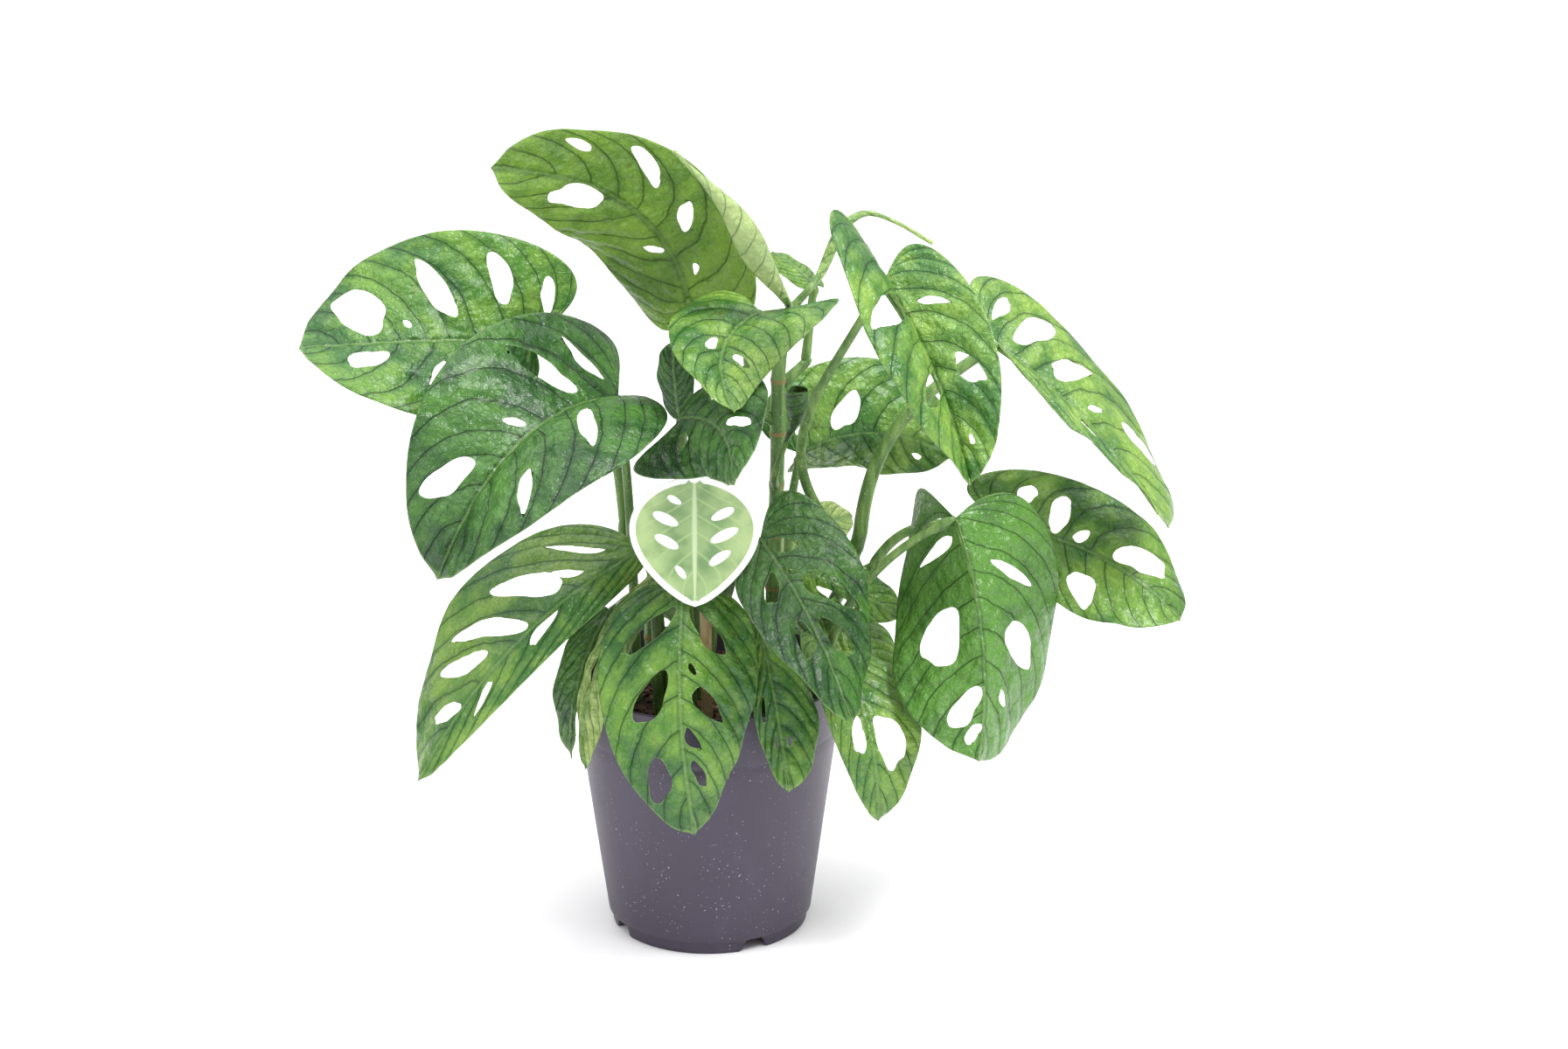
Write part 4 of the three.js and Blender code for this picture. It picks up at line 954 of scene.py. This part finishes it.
skins = {}
for name in ("dark", "mid", "light", "pale"):
    skins[name] = [makeLeafSkin(name, greens[name], under) for under in (False, True)]
stalkSkin = makeSkin("stalk_skin", tone(0x436627), tone(0x6c8c45))
for name, leaf in leaves.items():
    makeBlade(name, leaf, skins[leaf["tone"]])
    makeStalk(name, leaf, stalkSkin)
print("leaves made")

# Leaves that are still rolled up: a scroll round a curve, thickest at one place along it.
scroll = {"rows": 90, "columns": 70, "spread": 0.35, "leastRadius": 0.8, "span": 6, "stalkRings": 30}
rolledLeaves = {
    "crown_rolled": {
        "tone": "pale", "radius": 6, "widest": 0.4, "turns": 1.6, "undersideOut": True,
        "points": [(34, -24, 288), (31, -28, 294), (24, -36, 307), (11, -46, 332), (-11, -52, 357)],
    },
    "top_rolled": {
        "tone": "pale", "radius": 2.4, "widest": 0.3, "turns": 1.8, "undersideOut": False,
        "points": [(44, -2, 288), (49, 6, 293), (57, 12, 309), (67, 15, 316), (80, 17, 312), (96, 20, 302)],
    },
    "funnel": {
        "tone": "dark", "radius": 5, "widest": 0.9, "turns": 1.5, "undersideOut": False,
        "points": [(29, -4, 206), (34, -6, 222), (38, -8, 233), (39, -10, 246)],
    },
}


# The scroll: at each place along the curve the sheet winds round it, its radius growing with the turn.
def makeRolled(name, rolled, skins):
    path = throughPoints(rolled["points"], scroll["rows"])
    place = pathLength(path) / pathLength(path)[-1]
    swell = np.exp(-(((place - rolled["widest"]) / scroll["spread"]) ** 2))
    radii = np.maximum(scroll["leastRadius"], rolled["radius"] * swell)
    across = np.linspace(0, 1, scroll["columns"])
    turn = across * rolled["turns"] * 2 * np.pi + 0.6 * place[:, None]
    grow = 0.72 + 0.3 * across + 0.03 * np.sin(9 * place[:, None] + 5 * across)
    beside, lift = acrossPath(path, np.array([0.2, -1.0, 0.1]))
    ring = np.cos(turn)[..., None] * beside[:, None] + np.sin(turn)[..., None] * lift[:, None]
    points = path[:, None] + ring * (radii[:, None] * grow)[..., None]
    faces = gridFaces(*turn.shape)
    rim = np.minimum(across, 1 - across) * rolled["radius"] * scroll["span"] + 0 * turn
    y = (across - 0.5) * rolled["radius"] * scroll["span"] + 0 * turn
    count = place[:, None] * 9 + np.abs(across - 0.5) * 4
    pattern = np.stack([y.ravel()[faces] / 10, count.ravel()[faces]], axis=-1)
    fields = {"rim": rim, "tint": np.full(turn.shape, 0.2)}
    piece = makePiece("scroll_" + name, points, faces, skins, "leaf_" + name,
                      pattern, fields)
    solidify(piece, blade["thickness"], 0, under=1)


# The short stalk that joins a rolled leaf to its stem.
def makeRolledStalk(name, rolled, skin):
    first, second = (np.array(point, float) for point in rolled["points"][:2])
    path = throughPoints([stemBelow(first), first, second], scroll["stalkRings"])
    radii = growth["stalkRadius"] * (0.9 - 0.4 * np.linspace(0, 1, scroll["stalkRings"]))
    points, faces = sweep(path, radii, growth["stalkSides"], np.array([0.3, -1.0, 0.2]))
    fields = {"scar": np.zeros(points[..., 0].size)}
    makePiece("stalk_" + name + "_short", points, faces, [skin], "leaf_" + name, fields=fields)


for name, rolled in rolledLeaves.items():
    makeRolledStalk(name, rolled, stalkSkin)
    upper, under = skins[rolled["tone"]]
    makeRolled(name, rolled, [under, upper] if rolled["undersideOut"] else [upper, under])
print("rolled leaves made")

# Label: a leaf-shaped card on a wooden stick
label = {
    "tip": (-4, -59, 166), "width": 54, "height": 58, "thickness": 0.7, "lean": 6, "border": 2.6,
    "cardRows": 70, "cardColumns": 61, "stickRings": 40, "stickSides": 28, "stickRound": 0.3,
    "stickWidth": 5, "stickThickness": 2, "stickFoot": (0, -26, 91), "stickTop": (0, -50.5, 214),
    "paper": tone(0xf6f7f4), "printPale": tone(0xa9c283), "printGreen": tone(0x668a54),
    "printVein": tone(0xb9cba0), "wood": tone(0xdcc197), "grain": tone(0xb8935f),
    "slits": [(0.3, 0.44, 0.09, 0.34), (0.47, 0.46, 0.09, 0.42), (0.64, 0.46, 0.08, 0.4),
              (0.2, -0.3, 0.08, 0.2), (0.42, -0.44, 0.09, 0.36), (0.6, -0.46, 0.09, 0.42),
              (0.76, -0.38, 0.06, 0.3)],
}


# Printed card: a plain white border round a printed leaf with a pale midrib, side veins and slits. The
# pattern map holds the place across, from -1 to 1, and the place up the card, from 0 to 1.
def makePrint():
    finish = Finish("label_print")
    across, height = finish.pattern("X"), finish.pattern("Y")
    off = abs(across)
    inside = finish.field("rim").rise(label["border"] - 0.15, label["border"] + 0.15)
    veins = abs((height * 7 + off * 2.2).fraction() - 0.5).fade(0.02, 0.12)
    midrib = off.fade(0.015, 0.06)
    wash = finish.noise(110, 3).rise(0.35, 0.7)
    green = finish.layers(
        label["printPale"], (wash * 0.5 + off.fade(0.2, 0.9) * 0.5, label["printGreen"]),
        (veins * 0.45, label["printPale"]), (midrib, label["printVein"]))
    slits = 0
    for place, side, tall, wide in label["slits"]:
        lean = (across - side) * (0.35 if side > 0 else -0.35)
        u, v = (height - place - lean * 0.6) * (2 / tall), (across - side) * (2 / wide)
        slits = (u * u + v * v).fade(0.85, 1.1) + slits
    leaf = finish.mix(slits, green, label["paper"])
    return finish.done({
        "Base Color": finish.mix(inside, label["paper"], leaf),
        "Roughness": 0.32 + finish.noise(500, 2) * 0.1,
        "Coat Weight": 0.2,
        "Normal": finish.bump(finish.noise(1500, 2), 0.00002),
    })


# Pale wood: long grain along the stick with a few darker fibres.
def makeWood():
    finish = Finish("stick_wood")
    grain = finish.noise(420, 5, (1, 1, 0.05))
    fibres = finish.noise(1500, 2, (1, 1, 0.03)).rise(0.6, 0.7)
    colour = finish.mix(grain.rise(0.35, 0.7) * 0.7 + fibres * 0.4, label["wood"], label["grain"])
    return finish.done({
        "Base Color": colour,
        "Roughness": 0.62 + grain * 0.2,
        "Normal": finish.bump(grain + fibres, 0.0002),
    })


# The card: rows up the leaf outline, its half width a skewed sine, leaning back by a few degrees.
def makeCard(printed):
    height = np.linspace(0, 1, label["cardRows"])[:, None]
    across = np.linspace(-1, 1, label["cardColumns"])[None, :]
    half = label["width"] / 2 * np.sin(np.pi * np.clip(height, 0, 1) ** 1.05) ** 0.56
    x = half * across
    up = label["height"] * height**0.85 * (1 - 0.05 * height**6) + 0 * across
    bend = 0.6 * (across**2 - 0.3) * np.sin(np.pi * height)
    lean = math.radians(label["lean"])
    tip = np.array(label["tip"], float)
    points = np.stack([tip[0] + x, tip[1] + up * np.sin(lean) - bend, tip[2] + up * np.cos(lean)], axis=-1)
    edge = np.stack([half[:, 0], up[:, 0]], axis=-1)
    rim = np.hypot(np.abs(x)[..., None] - edge[:, 0], up[..., None] - edge[:, 1]).min(axis=-1)
    faces = gridFaces(*x.shape)[:, ::-1]
    spots = np.stack([across + 0 * x, height + 0 * x], axis=-1).reshape(-1, 2)
    piece = makePiece("label_card_printed", points, faces, [printed], "label_card",
                      spots[faces], {"rim": rim})
    solidify(piece, label["thickness"], 0)


# The stick: a flat rounded section carried along a straight line from the soil to behind the card.
def makeStick(wood):
    rings, sides = label["stickRings"], label["stickSides"]
    foot, top = (np.array(label[key], float) for key in ("stickFoot", "stickTop"))
    path = foot + (top - foot) * np.linspace(0, 1, rings)[:, None]
    angle = circle(sides)
    east, out = (size / 2 * np.sign(turn) * np.abs(turn) ** label["stickRound"] for size, turn in (
        (label["stickWidth"], np.cos(angle)), (label["stickThickness"], np.sin(angle))))
    beside = np.array([1.0, 0, 0])
    lift = np.cross(unit(top - foot), beside)
    taper = np.ones(rings)
    taper[[0, -1]] = 0.9
    section = (east[:, None] * beside + out[:, None] * lift) * taper[:, None, None]
    start, end = (np.repeat(path[[place], None], sides, 1) for place in (0, -1))
    points = np.concatenate([start, path[:, None] + section, end])
    faces = gridFaces(rings + 2, sides, closedColumns=True)[:, ::-1]
    makePiece("label_stick_wood", points, faces, [wood], "label_stick")


makeCard(makePrint())
makeStick(makeWood())
print("label made")

# Stage
stage = {
    "floor": tone(0xfbfafc), "floorShade": tone(0xf1eff4), "floorSize": 14, "floorPoints": 9,
    "sky": (1.0, 0.995, 1.0, 1.0), "skyStrength": 0.6,
    "camera": (0.033, -1.4129, 0.6445), "pitch": 71.9, "lens": 79.3,
    "lights": {
        "ceiling": {"place": (0.0, 0.4, 2.8), "target": (0.0, 0.4, 0.0), "size": 6.0, "power": 200},
        "key": {"place": (0.8, -0.5, 1.6), "target": (0.0, 0.0, 0.18), "size": 0.6, "power": 26},
        "fill": {"place": (-1.3, -1.0, 0.9), "target": (0.0, 0.0, 0.18), "size": 1.2, "power": 6},
    },
}


# Seamless paper floor, very slightly uneven in tone.
def makeFloor():
    finish = Finish("floor_paper")
    colour = finish.mix(finish.noise(3, 3) * 0.1, stage["floor"], stage["floorShade"])
    material = finish.done({"Base Color": colour, "Roughness": 0.8, "Specular IOR Level": 0.2})
    reach = np.linspace(-0.5, 0.5, stage["floorPoints"]) * stage["floorSize"]
    x, y = np.meshgrid(reach, reach, indexing="ij")
    points = np.stack([x, y, 0 * x], axis=-1).reshape(-1, 3)
    mesh = bpy.data.meshes.new("floor")
    mesh.from_pydata(points.tolist(), [], gridFaces(*x.shape).tolist())
    mesh.materials.append(material)
    floor = bpy.data.objects.new("floor", mesh)
    bpy.context.scene.collection.objects.link(floor)


# A soft square light that faces its target.
def makeLight(name, light):
    lamp = bpy.data.lights.new(name, "AREA")
    lamp.size = light["size"]
    lamp.energy = light["power"]
    source = bpy.data.objects.new(name, lamp)
    source.location = light["place"]
    aim = mathutils.Vector(light["target"]) - source.location
    source.rotation_euler = aim.to_track_quat("-Z", "Y").to_euler()
    bpy.context.scene.collection.objects.link(source)


def makeSky():
    world = bpy.data.worlds.new("studio")
    world.use_nodes = True
    backdrop = world.node_tree.nodes["Background"]
    backdrop.inputs["Color"].default_value = stage["sky"]
    backdrop.inputs["Strength"].default_value = stage["skyStrength"]
    bpy.context.scene.world = world
    bpy.context.scene.view_settings.view_transform = "Standard"


def makeCamera():
    lens = bpy.data.cameras.new("camera")
    lens.sensor_width = 36
    lens.lens = stage["lens"]
    camera = bpy.data.objects.new("camera", lens)
    camera.location = stage["camera"]
    camera.rotation_euler = (math.radians(stage["pitch"]), 0, 0)
    bpy.context.scene.collection.objects.link(camera)
    bpy.context.scene.camera = camera


makeFloor()
makeSky()
for name, light in stage["lights"].items():
    makeLight(name, light)
makeCamera()
print("stage made")
